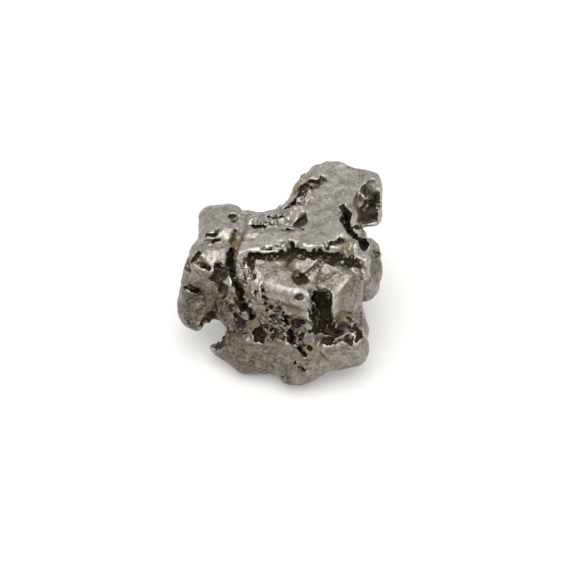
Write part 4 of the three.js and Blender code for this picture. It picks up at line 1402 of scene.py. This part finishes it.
pitted = node("Bump", {"Height": grain, "Distance": PIT_DEPTH, "Strength": PIT_STRENGTH})
shader = node("BsdfPrincipled", {
    "Base Color": colour, "Metallic": metallic, "Roughness": roughness, "Normal": pitted})
node("OutputMaterial", {"Surface": shader})
nugget.data.materials.clear()
nugget.data.materials.append(finish)
print("the finish has", len(finish.node_tree.nodes), "nodes")

# %% [markdown]
# ## Floor
#
# A small find is usually shown on white paper over a light pad, so that its shadow stays pale. The paper is
# a flat square far wider than the nugget. It glows a little by itself, which stands for the pad below it.

# %% Floor
FLOOR_HALF = 400  # mm
PAPER_ROUGHNESS, PAD_GLOW = 0.9, 0.2

square = FLOOR_HALF * np.array([(-1, -1, 0), (1, -1, 0), (1, 1, 0), (-1, 1, 0)])
floor_mesh = mesh_from("floor", square, np.array([[0, 1, 2, 3]]))
floor = bpy.data.objects.new("floor", floor_mesh)
bpy.context.scene.collection.objects.link(floor)
paper = bpy.data.materials.new("white_paper")
paper.use_nodes = True
paper_inputs = paper.node_tree.nodes["Principled BSDF"].inputs
paper_inputs["Base Color"].default_value = linear("#dddbd7")
paper_inputs["Roughness"].default_value = PAPER_ROUGHNESS
paper_inputs["Emission Color"].default_value = linear("#ffffff")
paper_inputs["Emission Strength"].default_value = PAD_GLOW
floor_mesh.materials.append(paper)
print("the floor is", 2 * FLOOR_HALF, "mm wide")

# %% [markdown]
# ## Light
#
# Shiny metal shows its surroundings, so the light has to be large and soft: a white room all round, and one
# wide disk nearly overhead, a little in front and to the left. A weak second disk behind the nugget draws
# a sheen along the edges of its far side. Small hard lamps would give every facet a hot spot.

# %% Light
def soft_light(name, azimuth, elevation, distance, size, power):
    """A round soft light that faces the nugget, placed by angles and mm."""
    light = bpy.data.lights.new(name, "AREA")
    light.shape, light.size, light.energy = "DISK", size * MM, power
    holder = bpy.data.objects.new(name, light)
    bpy.context.scene.collection.objects.link(holder)
    out = Vector(side(azimuth, elevation)[2])
    holder.location = out * distance * MM
    holder.rotation_mode = "QUATERNION"
    holder.rotation_quaternion = out.to_track_quat("Z", "Y")


ROOM_LIGHT = 0.82
soft_light("key", azimuth=-20, elevation=75, distance=120, size=130, power=0.108)
soft_light("sheen", azimuth=170, elevation=48, distance=120, size=110, power=0.009)
room = bpy.data.worlds.new("studio")
bpy.context.scene.world = room
room.use_nodes = True
room.node_tree.nodes["Background"].inputs["Color"].default_value = linear("#ffffff")
room.node_tree.nodes["Background"].inputs["Strength"].default_value = ROOM_LIGHT
print("two soft lights and a white room")

# %% [markdown]
# ## Camera
#
# The camera looks down at 45 degrees, square to the display side. A long lens from far off keeps the
# nugget's shape true, with hardly any perspective. The view transform is the plain one, so that greys stay
# as they are.

# %% Camera
IMAGE_WIDTH = 19.17  # mm across the picture at the nugget
LENS, SENSOR = 250, 36  # mm
NEAREST, FURTHEST = 0.01, 10  # metres that the camera sees between
AIM = (0.25, -0.517)  # the picture's middle, across and up on the display side, in mm

camera_data = bpy.data.cameras.new("camera")
camera_data.lens, camera_data.sensor_width = LENS, SENSOR
camera_data.clip_start, camera_data.clip_end = NEAREST, FURTHEST
camera = bpy.data.objects.new("camera", camera_data)
bpy.context.scene.collection.objects.link(camera)
target = spot(DISPLAY, *AIM, 0)
camera.location = Vector((target + DISPLAY[2] * IMAGE_WIDTH * LENS / SENSOR) * MM)
camera.rotation_mode = "QUATERNION"
camera.rotation_quaternion = Vector(DISPLAY[2]).to_track_quat("Z", "Y")
bpy.context.scene.camera = camera
bpy.context.scene.view_settings.view_transform = "Standard"
print("the camera is", round(camera.location.length / MM), "mm away")
